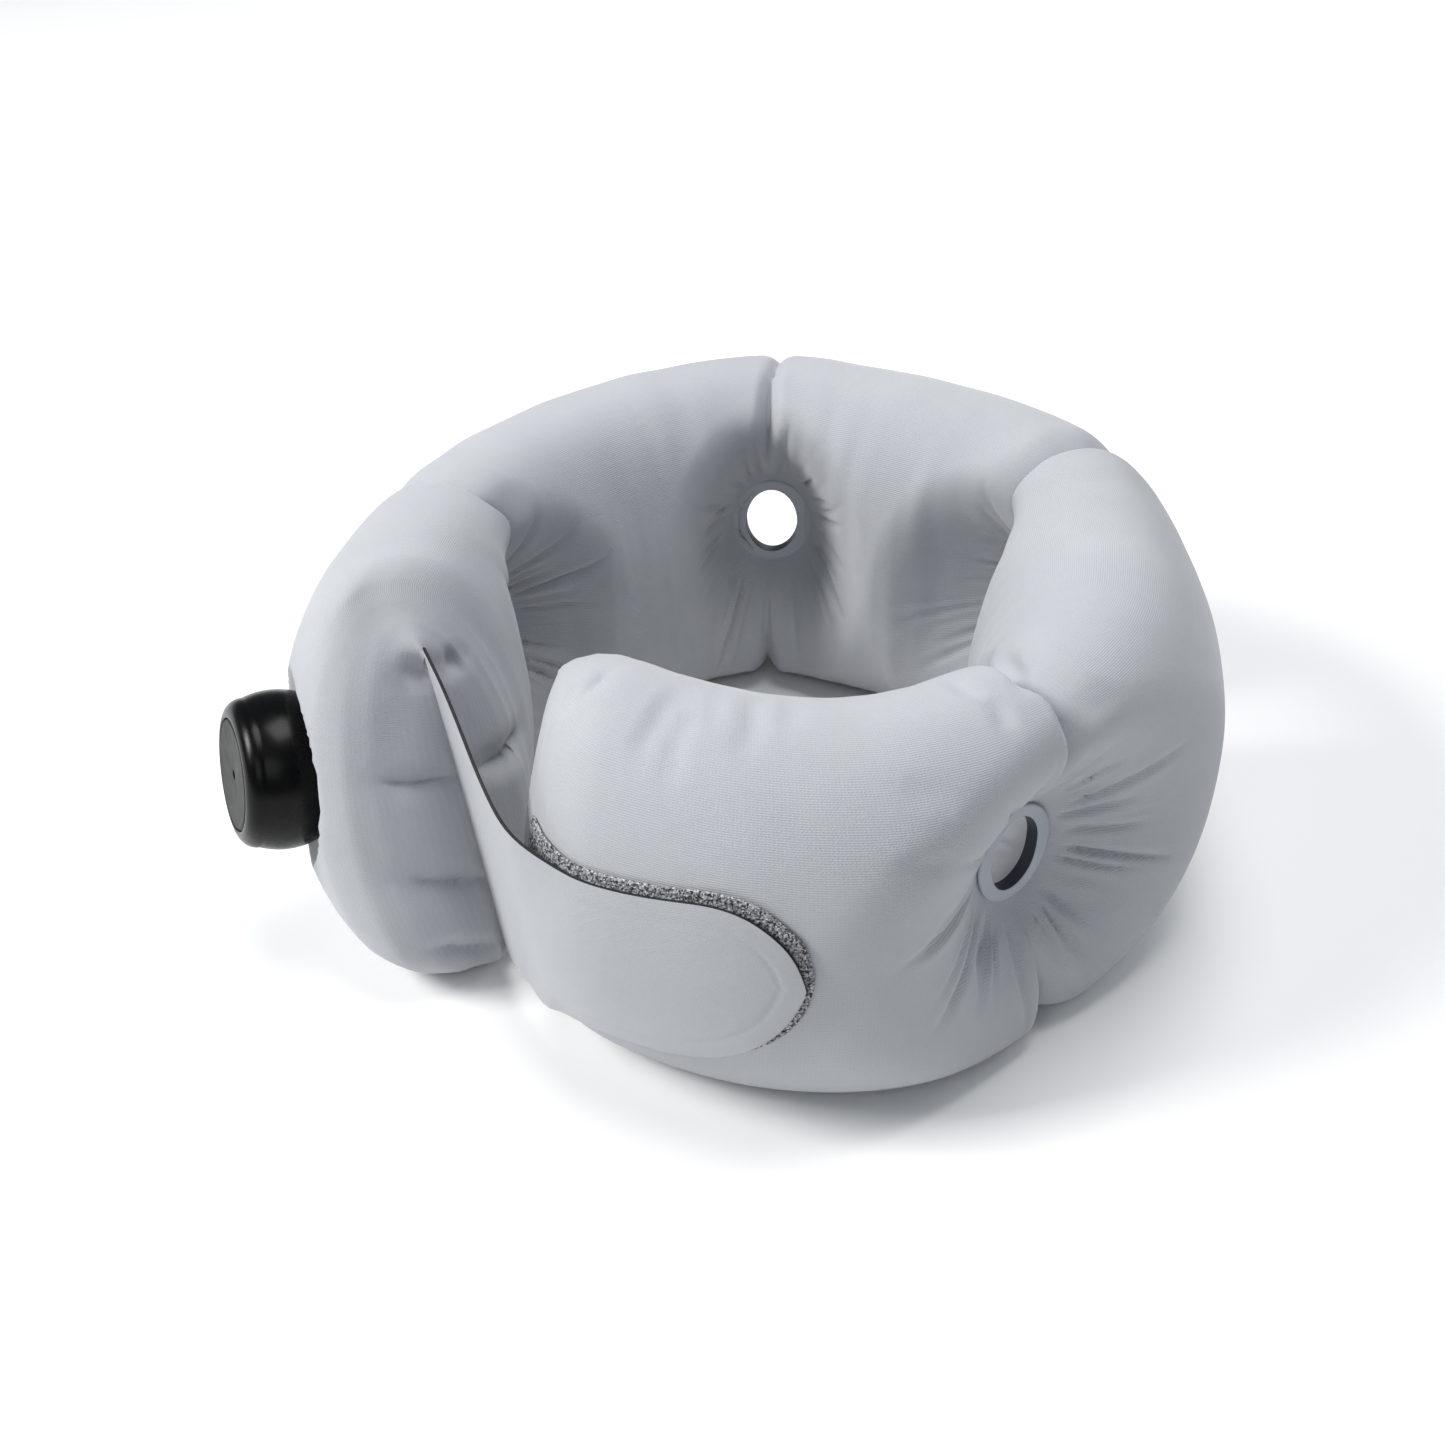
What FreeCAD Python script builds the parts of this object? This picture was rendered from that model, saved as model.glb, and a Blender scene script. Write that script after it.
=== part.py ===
import FreeCAD, Part
import math
import os

V = FreeCAD.Vector
os.makedirs("parts", exist_ok=True)

# ---------------------------------------------------------------------------
# Inflatable wrap-round neck pillow.  A long tube of coated fabric is bent into
# a ring that closes in front with a strap.  Four welded eyelets pinch the tube
# through its middle, so that it folds there and reads as five air chambers.
# Lengths in mm, angles in degrees, +Z up, resting on Z = 0.
# ---------------------------------------------------------------------------

# Place of the ring's centre in the part's frame (origin: bottom centre of the
# whole object's bounding box).
RING_X = 9.07
RING_Y = 5.93

# Ring of chambers
RING_R = 107.0          # radius of the chambers' middle line
MID_Z = 60.0            # height of the middle line
HALF_H = 61.0           # half height of a full chamber, before the flat rest strip
HALF_T = 39.0           # half thickness of a full chamber
BULGE = 2.15            # exponent of the superelliptic section
SEAM_GAP = 3.0          # distance from a fold plane to the chamber end beside it
FOLD_OUT = 33.0         # the tube folds about its outer skin, this far outside the middle line

# Fold axes (angle round the ring)
SEAM_A = 165.0
SEAM_B = 85.5
SEAM_C = 25.0
SEAM_D = 310.0

# Free ends of the tube: weld lines, top and bottom points in the ring's frame
END1_TOP = V(-96.0, -45.5, 104.0)
END1_BOT = V(-75.8, -72.5, 5.0)
END2_TOP = V(-67.5, -67.0, 106.0)
END2_BOT = V(-65.5, -69.5, 7.0)
END1_ANG = 214.6
END1_TURN = 0.0         # how far the pump chamber's end turns in towards the front
END2_ANG = 226.0

# Eyelets
EYE_R = 11.0            # hole radius
EYE_RO = 15.0           # rim radius
EYE_T = 4.6             # rim thickness
EYE_CLEAR = 17.2        # clearance radius in the chambers

# Fold webs between the chambers
WEB_T = 1.6
WEB_S = 2.4

# Strap and hook-and-loop layers, measured outward from the front chamber
LOOP_IN, LOOP_OUT = 0.5, 1.9
HOOK_IN, HOOK_OUT = 2.2, 2.9
STRAP_IN, STRAP_OUT = 3.3, 4.9

# Pump
PUMP_BASE = V(-133.0, -44.7, 60.0)
PUMP_AZ = 204.0
PUMP_EL = 8.0
SEAT_R = 27.0           # welded flange radius
SEAT_TOP = -1.0         # flange's outer face along the pump axis
SEAT_T = 2.0
SOCKET_R = 15.05        # socket bore radius
SOCKET_RO = 17.0
SOCKET_DEPTH = 18.0
BULB_R = 24.0
BULB_H = 24.0
FACE_R = 16.7
FACE_HOLE_R = 17.0
PLUG_R = 14.0
PLUG_DISC_R = 20.6
ORING_MAJOR, ORING_MINOR = 13.8, 1.2

parts = {}


# ---------------------------------------------------------------- helpers
def interp(table, x):
    if x <= table[0][0]:
        return table[0][1]
    for (x0, y0), (x1, y1) in zip(table, table[1:]):
        if x <= x1:
            t = (x - x0) / (x1 - x0)
            return y0 + (y1 - y0) * t
    return table[-1][1]


def smooth(x):
    x = max(0.0, min(1.0, x))
    return x * x * (3 - 2 * x)


def polar(ang, r=RING_R, z=MID_Z):
    a = math.radians(ang)
    return V(r * math.cos(a), r * math.sin(a), z)


def unit(v):
    v = V(v)
    v.normalize()
    return v


POLES = 28


def section_wire(c, u, w, a, b):
    """Closed cubic spline, nearly a superellipse: half thickness a along w, half height b along u."""
    k = 1.0 + (2 * math.pi / POLES) ** 2 / 6
    poles = []
    for i in range(POLES):
        t = 2 * math.pi * i / POLES
        cs, sn = math.cos(t), math.sin(t)
        x = k * a * math.copysign(abs(cs) ** (2 / BULGE), cs)
        y = k * b * math.copysign(abs(sn) ** (2 / BULGE), sn)
        poles.append(c + w * x + u * y)
    curve = Part.BSplineCurve()
    curve.buildFromPolesMultsKnots(
        poles, [1] * (POLES + 1), list(range(POLES + 1)), True, 3
    )
    return Part.Wire([curve.toShape()])


# Half thickness and half height against distance from a fold plane
T_SEAM = [(3.0, 30.5), (5, 33.0), (9, 35.3), (16, 37.2), (30, 38.6), (50, 39.0)]
H_SEAM = [(3.0, 57.6), (6, 59.0), (12, 60.2), (25, 61.0)]
# The same from a free, welded end
T_END = [(0, 3.5), (3, 8.5), (7, 15.0), (13, 22.5), (21, 29.0), (31, 33.5), (44, 36.6), (60, 38.3), (80, 39.0)]
T_END_1 = [(0, 3.5), (3, 12.5), (7, 21.5), (13, 29.5), (21, 34.5), (31, 37.2), (44, 38.6), (60, 39.0)]
H_END = [(0, 49.5), (5, 53.0), (12, 56.4), (24, 59.6), (40, 61.0)]

# Middle line of the tube: angle round the ring, radius
PATH = [(-134.0, 94.0), (-120.0, 94.5), (-105.0, 99.0), (-90.0, 105.5), (-70.0, 112.0), (-50.0, 112.0), (-30.0, 110.5),
        (-10.0, 107.0), (5.0, 106.5), (25.0, 112.5), (40.0, 111.0), (55.0, 107.5), (70.0, 106.5), (85.5, 108.5),
        (105.0, 101.0), (125.0, 96.5), (145.0, 95.5), (165.0, 98.5), (180.0, 102.5), (195.0, 110.0), (205.0, 113.5), (214.6, 107.0)]
# Thickness of the tube there, as a share of the full one
GIRTH = [(-134.0, 0.97), (-105.0, 0.97), (-70.0, 1.0), (0.0, 0.98), (60.0, 1.0), (85.5, 1.0), (105.0, 0.96), (125.0, 0.94),
         (150.0, 0.93), (170.0, 0.95), (190.0, 1.0), (214.6, 1.0)]


def path_r(ang):
    """Radius of the middle line at an angle, by cubic interpolation of PATH."""
    x = ang if ang < 220 else ang - 360
    if x > 214.6:
        return PATH[-1][1]
    i = max(j for j in range(len(PATH) - 1) if PATH[j][0] <= x + 1e-9 or j == 0)
    (x0, y0), (x1, y1) = PATH[i], PATH[i + 1]
    m0 = (y1 - PATH[i - 1][1]) / (x1 - PATH[i - 1][0]) if i > 0 else (y1 - y0) / (x1 - x0)
    m1 = (PATH[i + 2][1] - y0) / (PATH[i + 2][0] - x0) if i + 2 < len(PATH) else (y1 - y0) / (x1 - x0)
    h = x1 - x0
    t = (x - x0) / h
    return ((2 * t ** 3 - 3 * t ** 2 + 1) * y0 + (t ** 3 - 2 * t ** 2 + t) * h * m0
            + (-2 * t ** 3 + 3 * t ** 2) * y1 + (t ** 3 - t ** 2) * h * m1)


def section_at(name, ang, s_seams, s_end, end=None):
    """Centre, up, outward, half thickness and half height of a chamber's section."""
    a = min([interp(T_SEAM, s) for s in s_seams] + ([interp(T_END_1 if name == 1 else T_END, s_end)] if end else []))
    a *= interp(GIRTH, ang if ang < 220 else ang - 360) if a > 5 else 1.0
    b = min([interp(H_SEAM, s) for s in s_seams] + ([interp(H_END, s_end)] if end else []))
    c = polar(ang, path_r(ang))
    up = V(0, 0, 1)
    out = unit(V(c.x, c.y, 0))
    if end:
        top, bot = end
        k = 1 - smooth(s_end / 46.0)
        mid = (top + bot) * 0.5
        u1 = unit(top - bot)
        c0 = polar(END1_ANG if name == 1 else END2_ANG, path_r(END1_ANG if name == 1 else END2_ANG))
        c = V(c.x + (mid.x - c0.x) * k, c.y + (mid.y - c0.y) * k, MID_Z + (mid.z - MID_Z) * k)
        up = unit(up * (1 - k) + u1 * k)
        if name == 1:
            turn = math.radians(END1_TURN) * (1 - smooth(s_end / 76.0))
            out = V(out.x * math.cos(turn) - out.y * math.sin(turn), out.x * math.sin(turn) + out.y * math.cos(turn), 0)
        out = unit(out - up * out.dot(up))
    return c, up, out, a, b


def chamber(name, ang0, ang1, stations, end_at=None, end=None):
    wires = []
    for ang in stations:
        s_seams, s_end = [], 1e9
        if end_at is None:
            s_seams = [math.radians(abs(ang - ang0)) * RING_R, math.radians(abs(ang1 - ang)) * RING_R]
        else:
            seam = ang0 if end_at == ang1 else ang1
            s_seams = [math.radians(abs(ang - seam)) * RING_R]
            s_end = math.radians(abs(end_at - ang)) * RING_R
        wires.append(section_wire(*section_at(name, ang, s_seams, s_end, end)))
    body = Part.makeLoft(wires, True, False, False)
    floor = Part.makeBox(800, 800, 60, V(-400, -400, -60))
    return body.cut(floor)


def spaced(ang0, ang1, s_list_0, s_list_1, mid_step=16.0):
    """Angles from ang0 to ang1 (ang1 > ang0), dense at both ends; distances in mm along the ring."""
    length = math.radians(ang1 - ang0) * RING_R
    s = [x for x in s_list_0]
    last = length - s_list_1[-1]
    n = max(1, int(round((last - s[-1]) / mid_step)))
    s += [s[-1] + (last - s[-1]) * (i + 1) / n for i in range(n)]
    s += [length - x for x in reversed(s_list_1[:-1])]
    return [ang0 + math.degrees(x / RING_R) for x in s]


SEAM_S = [3.0, 5, 9, 16, 28]
END_S_1 = [0, 5, 10, 15, 20, 25, 31]
END_S_5 = [0, 7, 14, 22, 31]


def eyelet_cutter(ang):
    """Clearance through a fold for the eyelet and for what is passed through it."""
    c = polar(ang, path_r(ang))
    out = unit(V(c.x, c.y, 0))
    cyl = Part.makeCylinder(EYE_CLEAR, 130, c - out * 65, out)
    cone1 = Part.makeCone(EYE_CLEAR, EYE_CLEAR + 32.0, 44, c + out * 3.5, out)
    cone2 = Part.makeCone(EYE_CLEAR, EYE_CLEAR + 24.0, 44, c - out * 3.5, out * -1)
    return cyl.fuse([cone1, cone2])


def facet_solid(inner, outer):
    """Closed solid between two grids of points (rows along, columns across)."""
    faces = []

    def tri(p, q, r):
        if p.distanceToPoint(q) < 1e-6 or q.distanceToPoint(r) < 1e-6 or r.distanceToPoint(p) < 1e-6:
            return
        faces.append(Part.Face(Part.makePolygon([p, q, r, p])))

    def quad(a, b, c, d):
        tri(a, b, c)
        tri(a, c, d)

    n, m = len(inner), len(inner[0])
    for i in range(n - 1):
        for j in range(m - 1):
            quad(outer[i][j], outer[i + 1][j], outer[i + 1][j + 1], outer[i][j + 1])
            quad(inner[i][j], inner[i][j + 1], inner[i + 1][j + 1], inner[i + 1][j])
    for i in range(n - 1):
        quad(inner[i][0], inner[i + 1][0], outer[i + 1][0], outer[i][0])
        quad(inner[i][m - 1], outer[i][m - 1], outer[i + 1][m - 1], inner[i + 1][m - 1])
    for j in range(m - 1):
        quad(inner[0][j], outer[0][j], outer[0][j + 1], inner[0][j + 1])
        quad(inner[n - 1][j], inner[n - 1][j + 1], outer[n - 1][j + 1], outer[n - 1][j])
    shell = Part.makeShell(faces)
    shell.sewShape()
    solid = Part.makeSolid(shell)
    if solid.Volume < 0:
        solid.reverse()
    return solid


# ---------------------------------------------------------------- chambers
ch1 = chamber(1, SEAM_A, END1_ANG, spaced(SEAM_A, END1_ANG, SEAM_S[:-1], END_S_1, 14), END1_ANG, (END1_TOP, END1_BOT))
ch2 = chamber(2, SEAM_B, SEAM_A, spaced(SEAM_B, SEAM_A, SEAM_S, SEAM_S))
ch3 = chamber(3, SEAM_C, SEAM_B, spaced(SEAM_C, SEAM_B, SEAM_S, SEAM_S))
ch4 = chamber(4, SEAM_D, SEAM_C + 360, spaced(SEAM_D, SEAM_C + 360, SEAM_S, SEAM_S))
ch5 = chamber(5, END2_ANG, SEAM_D, spaced(END2_ANG, SEAM_D, END_S_5, SEAM_S), END2_ANG, (END2_TOP, END2_BOT))

cut_a, cut_b, cut_c, cut_d = (eyelet_cutter(x) for x in (SEAM_A, SEAM_B, SEAM_C, SEAM_D))
ch1 = ch1.cut(cut_a)
ch2 = ch2.cut(cut_a.fuse(cut_b))
ch3 = ch3.cut(cut_b.fuse(cut_c))
ch4 = ch4.cut(cut_c.fuse(cut_d))
ch5 = ch5.cut(cut_d)

# ---------------------------------------------------------------- eyelets and fold webs


def eyelet(ang):
    """Welded rim: a flat ring with rounded edges."""
    c = polar(ang, path_r(ang))
    out = unit(V(c.x, c.y, 0))
    ring = Part.makeCylinder(EYE_RO, EYE_T, c - out * (EYE_T / 2), out)
    hole = Part.makeCylinder(EYE_R, EYE_T + 2, c - out * (EYE_T / 2 + 1), out)
    ring = ring.cut(hole)
    rims = [e for e in ring.Edges if isinstance(e.Curve, Part.Circle) and abs(e.Curve.Radius - EYE_RO) < 0.01]
    return ring.makeFillet(1.6, rims)


def fold_web(ang, parent_sign):
    """Upper and lower strips of folded skin between two chambers, joined to the parent chamber's end.

    parent_sign is +1 where the parent chamber lies at larger angles."""
    c = polar(ang, path_r(ang), 0)
    out = unit(V(c.x, c.y, 0))
    along = V(-out.y, out.x, 0) * parent_sign
    reach = (path_r(ang) - 1.0) * math.sin(SEAM_GAP / RING_R) - 0.02
    upper = Part.makeBox(WEB_S + reach, WEB_T, 115.0 - MID_Z)
    lower = Part.makeBox(WEB_S + reach, WEB_T, MID_Z - 5.0)
    rim = Part.makeCylinder(EYE_RO, 40, V(0, 0, 0), V(0, 1, 0))
    pieces = []
    for box, z in ((upper, MID_Z), (lower, 5.0)):
        b = box.copy()
        b.translate(V(-WEB_S, -WEB_T / 2, z))
        r = rim.copy()
        r.translate(V(0, -20, MID_Z))
        b = b.cut(r)
        m = FreeCAD.Matrix(
            along.x, out.x, 0, c.x,
            along.y, out.y, 0, c.y,
            0, 0, 1, 0,
            0, 0, 0, 1,
        )
        pieces.append(b.transformGeometry(m) if parent_sign < 0 else b.transformGeometry(m))
    return Part.makeCompound(pieces)


# ---------------------------------------------------------------- front chamber's outer surface, for the strap layers


def front_surface(ang, z, off):
    """Point on the front chamber's outer face at an angle and height, moved outward by off."""
    s_seam = math.radians(abs(SEAM_D - ang)) * RING_R
    s_end = math.radians(abs(ang - END2_ANG)) * RING_R
    a = min(interp(T_SEAM, s_seam), interp(T_END, s_end)) * interp(GIRTH, ang - 360)
    b = min(interp(H_SEAM, s_seam), interp(H_END, s_end))
    c = polar(ang, path_r(ang))
    out = unit(V(c.x, c.y, 0))
    k = min(0.97, abs(z - MID_Z) / b)
    x = a * (1 - k ** BULGE) ** (1 / BULGE)
    # slope of the section there, so that the offset is square to the surface
    dz = 0.5
    k2 = min(0.98, abs(abs(z - MID_Z) + dz) / b)
    x2 = a * (1 - k2 ** BULGE) ** (1 / BULGE)
    slope = (x - x2) / dz
    n = unit(out + V(0, 0, math.copysign(slope, z - MID_Z)))
    return V(c.x, c.y, z) + out * x + n * off


TONGUE_TOP = [(246.5, 94.0), (250, 92.3), (254, 90.6), (259, 89.4), (264, 88.0), (268, 85.0), (270.6, 81.0), (272.8, 75.0), (274.2, 68.0), (274.9, 61.0)]
TONGUE_BOT = [(246.5, 41.0), (250, 39.0), (254, 37.2), (259, 34.6), (264, 33.2), (268, 36.0), (270.6, 40.0), (272.8, 46.0), (274.2, 53.0), (274.9, 60.0)]


def layer(off_in, off_out, grow=0.0, cols=9, ang_from=246.5, top=TONGUE_TOP, bot=TONGUE_BOT):
    inner, outer = [], []
    for (at, zt), (ab, zb) in zip(top, bot):
        ri, ro = [], []
        a = at + grow * (0.75 if at > 260 else 0.0) * 0.39
        for j in range(cols):
            k = j / (cols - 1)
            z = zt + grow + (zb - 0.3 * grow - zt - grow) * k
            ri.append(front_surface(a, z, off_in))
            ro.append(front_surface(a, z, off_out))
        inner.append(ri)
        outer.append(ro)
    return inner, outer


# Bridge of the strap from the end weld to the front chamber (top and bottom edges, mid layer)
BRIDGE = [
    (V(-95.4, -46.9, 102.6), V(-75.2, -73.6, 7.4)),
    (V(-91.0, -62.0, 101.2), V(-71.5, -82.5, 12.0)),
    (V(-85.0, -80.0, 98.8), V(-67.5, -94.0, 18.5)),
    (V(-78.5, -97.0, 97.0), V(-62.5, -107.5, 27.0)),
    (V(-71.0, -114.0, 95.8), V(-57.0, -121.5, 34.0)),
]


def strap_grids():
    """Inner and outer grids of the whole strap: the bridge, then the tongue on the front chamber."""
    cols = 9
    ti, to = layer(STRAP_IN, STRAP_OUT, 0.0, cols)
    half = (STRAP_OUT - STRAP_IN) / 2
    inner, outer = [], []
    mids = []
    for top, bot in BRIDGE:
        mids.append([top + (bot - top) * (j / (cols - 1)) for j in range(cols)])
    first = [(ti[0][j] + to[0][j]) * 0.5 for j in range(cols)]
    rows = mids + [first]
    for i in range(len(mids)):
        ri, ro = [], []
        for j in range(cols):
            along = unit(rows[i + 1][j] - rows[i][j]) if i == 0 else unit(rows[i + 1][j] - rows[i - 1][j])
            down = unit(rows[i][cols - 1] - rows[i][0])
            n = unit(along.cross(down))
            if n.dot(V(rows[i][j].x, rows[i][j].y, 0)) < 0:
                n = n * -1
            ri.append(rows[i][j] - n * half)
            ro.append(rows[i][j] + n * half)
        inner.append(ri)
        outer.append(ro)
    return inner + ti, outer + to


# ---------------------------------------------------------------- pump


def pump_axis():
    az, el = math.radians(PUMP_AZ), math.radians(PUMP_EL)
    return V(math.cos(az) * math.cos(el), math.sin(az) * math.cos(el), math.sin(el))


P = pump_axis()


def at(t):
    return PUMP_BASE + P * t


def disc(r, t0, t1):
    return Part.makeCylinder(r, t1 - t0, at(t0), P)


def revolve(profile):
    """Solid of revolution about the pump axis from a closed (radius, t) profile of lines and 3-point arcs."""
    side = unit(V(-P.y, P.x, 0))
    pt = lambda r, t: at(t) + side * r
    edges = []
    for item in profile:
        if len(item) == 2:
            edges.append(Part.LineSegment(pt(*item[0]), pt(*item[1])).toShape())
        else:
            edges.append(Part.Arc(pt(*item[0]), pt(*item[1]), pt(*item[2])).toShape())
    face = Part.Face(Part.Wire(Part.__sortEdges__(edges)))
    return face.revolve(PUMP_BASE, P, 360)


# welded seat: flange with a socket tube that reaches into the chamber
seat = disc(SEAT_R, SEAT_TOP - SEAT_T, SEAT_TOP).fuse(disc(SOCKET_RO, SEAT_TOP - SOCKET_DEPTH, SEAT_TOP - SEAT_T + 0.5))
seat = seat.cut(disc(SOCKET_R, SEAT_TOP - SOCKET_DEPTH - 1, SEAT_TOP + 1)).removeSplitter()

# the pocket that the seat fills in the chamber
ch1 = ch1.cut(disc(SEAT_R + 0.3, SEAT_TOP - SEAT_T, 40).fuse(disc(SOCKET_RO, SEAT_TOP - SOCKET_DEPTH, 0)))
ch1 = ch1.cut(disc(SOCKET_R, SEAT_TOP - SOCKET_DEPTH - 10, SEAT_TOP - SOCKET_DEPTH + 1))

# plug: disc under the bulb, stem with a sealing groove, air bore
plug = disc(PLUG_DISC_R, -0.7, 2.3).fuse(disc(PLUG_R, -17.0, -0.2))
plug = plug.cut(disc(4.0, -20, 5))
groove_t0, groove_t1 = -10.2, -7.7
plug = plug.cut(disc(PLUG_R + 3, groove_t0, groove_t1).cut(disc(12.5, groove_t0 - 1, groove_t1 + 1)))
plug = plug.removeSplitter()
o_ring = Part.makeTorus(ORING_MAJOR, ORING_MINOR, at((groove_t0 + groove_t1) / 2), P)

# bulb: rubber barrel whose skirt wraps the plug's disc, open in front for the press face
H = BULB_H
bulb = revolve([
    ((PLUG_DISC_R, -0.7), (21.8, -0.7)),
    ((21.8, -0.7), (BULB_R, 9.5), (22.4, 18.5)),
    ((22.4, 18.5), (21.0, 22.3), (FACE_HOLE_R + 0.6, 23.9)),
    ((FACE_HOLE_R + 0.6, 23.9), (FACE_HOLE_R, 23.6)),
    ((FACE_HOLE_R, 23.6), (FACE_HOLE_R, 20.9)),
    ((FACE_HOLE_R, 20.9), (18.6, 20.0)),
    ((18.6, 20.0), (20.6, 9.5), (19.2, 2.3)),
    ((19.2, 2.3), (PLUG_DISC_R, 2.3)),
    ((PLUG_DISC_R, 2.3), (PLUG_DISC_R, -0.7)),
])

# press face: slightly dished disc with an air inlet in its middle
face = revolve([
    ((1.5, 21.0), (FACE_R - 0.6, 21.0)),
    ((FACE_R - 0.6, 21.0), (FACE_R, 21.6)),
    ((FACE_R, 21.6), (FACE_R, 23.4)),
    ((FACE_R, 23.4), (FACE_R - 0.5, 23.95)),
    ((FACE_R - 0.5, 23.95), (8.0, 23.6), (1.5, 23.4)),
    ((1.5, 23.4), (1.5, 21.0)),
])
foam = disc(18.2, 2.7, 19.4).cut(disc(8.0, 0, 30))
inlet = disc(5.0, 19.9, 20.7)
outlet = disc(6.5, -18.1, -17.3)

# ---------------------------------------------------------------- collect
parts["chamber_1_pump_end"] = ch1
parts["chamber_2_back_left"] = ch2
parts["chamber_3_back_right"] = ch3
parts["chamber_4_right"] = ch4
parts["chamber_5_front"] = ch5
for key, ang, sign in (("a", SEAM_A, -1), ("b", SEAM_B, -1), ("c", SEAM_C, 1), ("d", SEAM_D, 1)):
    parts["eyelet_ring_" + key] = eyelet(ang)
    parts["fold_web_" + key] = fold_web(ang, sign)
parts["loop_patch"] = facet_solid(*layer(LOOP_IN, LOOP_OUT, 4.0))
parts["hook_patch"] = facet_solid(*layer(HOOK_IN, HOOK_OUT, -3.0))
parts["closure_strap"] = facet_solid(*strap_grids())
parts["valve_seat"] = seat
parts["pump_plug"] = plug
parts["pump_o_ring"] = o_ring
parts["pump_bulb"] = bulb
parts["pump_foam_core"] = foam
parts["pump_press_face"] = face
parts["inlet_flap"] = inlet
parts["outlet_flap"] = outlet

total = None
for name, shape in parts.items():
    shape = shape.copy()
    shape.translate(V(RING_X, RING_Y, 0))
    solids = shape.Solids
    ok = shape.isValid() and all(s.isClosed() for s in solids)
    bb = shape.BoundBox
    print("%-24s solids %d vol %9.0f %s  x %.1f..%.1f y %.1f..%.1f z %.1f..%.1f" % (
        name, len(solids), shape.Volume, "ok" if ok else "BAD", bb.XMin, bb.XMax, bb.YMin, bb.YMax, bb.ZMin, bb.ZMax))
    shape.exportStep("parts/%s.step" % name)
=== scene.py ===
import math
import bpy
import bmesh
import numpy as np
from mathutils import Vector, Matrix
from mathutils.bvhtree import BVHTree


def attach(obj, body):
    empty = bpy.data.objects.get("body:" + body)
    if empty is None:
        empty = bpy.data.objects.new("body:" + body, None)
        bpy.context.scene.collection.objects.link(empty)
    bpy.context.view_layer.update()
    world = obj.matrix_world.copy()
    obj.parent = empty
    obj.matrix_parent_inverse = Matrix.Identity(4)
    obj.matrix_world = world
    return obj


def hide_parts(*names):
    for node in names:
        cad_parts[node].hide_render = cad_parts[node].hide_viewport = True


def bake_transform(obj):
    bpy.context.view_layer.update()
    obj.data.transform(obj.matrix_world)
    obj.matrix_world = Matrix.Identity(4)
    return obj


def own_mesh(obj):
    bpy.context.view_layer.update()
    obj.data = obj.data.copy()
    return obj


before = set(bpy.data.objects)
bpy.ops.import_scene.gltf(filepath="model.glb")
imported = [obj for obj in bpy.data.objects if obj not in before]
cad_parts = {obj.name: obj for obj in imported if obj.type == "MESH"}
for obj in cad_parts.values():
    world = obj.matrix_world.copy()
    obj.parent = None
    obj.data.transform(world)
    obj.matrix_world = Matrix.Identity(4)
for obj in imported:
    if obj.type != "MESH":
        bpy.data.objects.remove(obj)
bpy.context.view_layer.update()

# An inflatable neck ring: a long tube of thin ribbed fabric, folded at four welded eyelets, closed in front by a strap.
# All work is in millimetres in the ring's frame (origin at the ring's centre, on the floor); to_row() gives the row frame in metres.
# ------------------------------------------------------------------ camera first
cam_data = bpy.data.cameras.new("camera")
cam = bpy.data.objects.new("camera", cam_data)
bpy.context.scene.collection.objects.link(cam)
cam_data.lens = 50.0
cam_data.sensor_width = 36.0
cam.location = (-0.0004355, -0.5277806, 0.4143079)
look = Vector((-0.0004355, 0.0025575, 0.0469154)) - cam.location
cam.rotation_euler = look.to_track_quat("-Z", "Y").to_euler()
bpy.context.scene.camera = cam

STRAP_OFF, STRAP_HALF = 3.05, 0.5
LOOP_OFF, HOOK_OFF = 0.9, 1.85
EYE_IN, EYE_OUT = (9.2, 12.4), (14.3, 16.2)   # half width and half height of the eyelet hole and rim
PLEAT = 6.4
LOOP_GROW = 2.4
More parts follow.
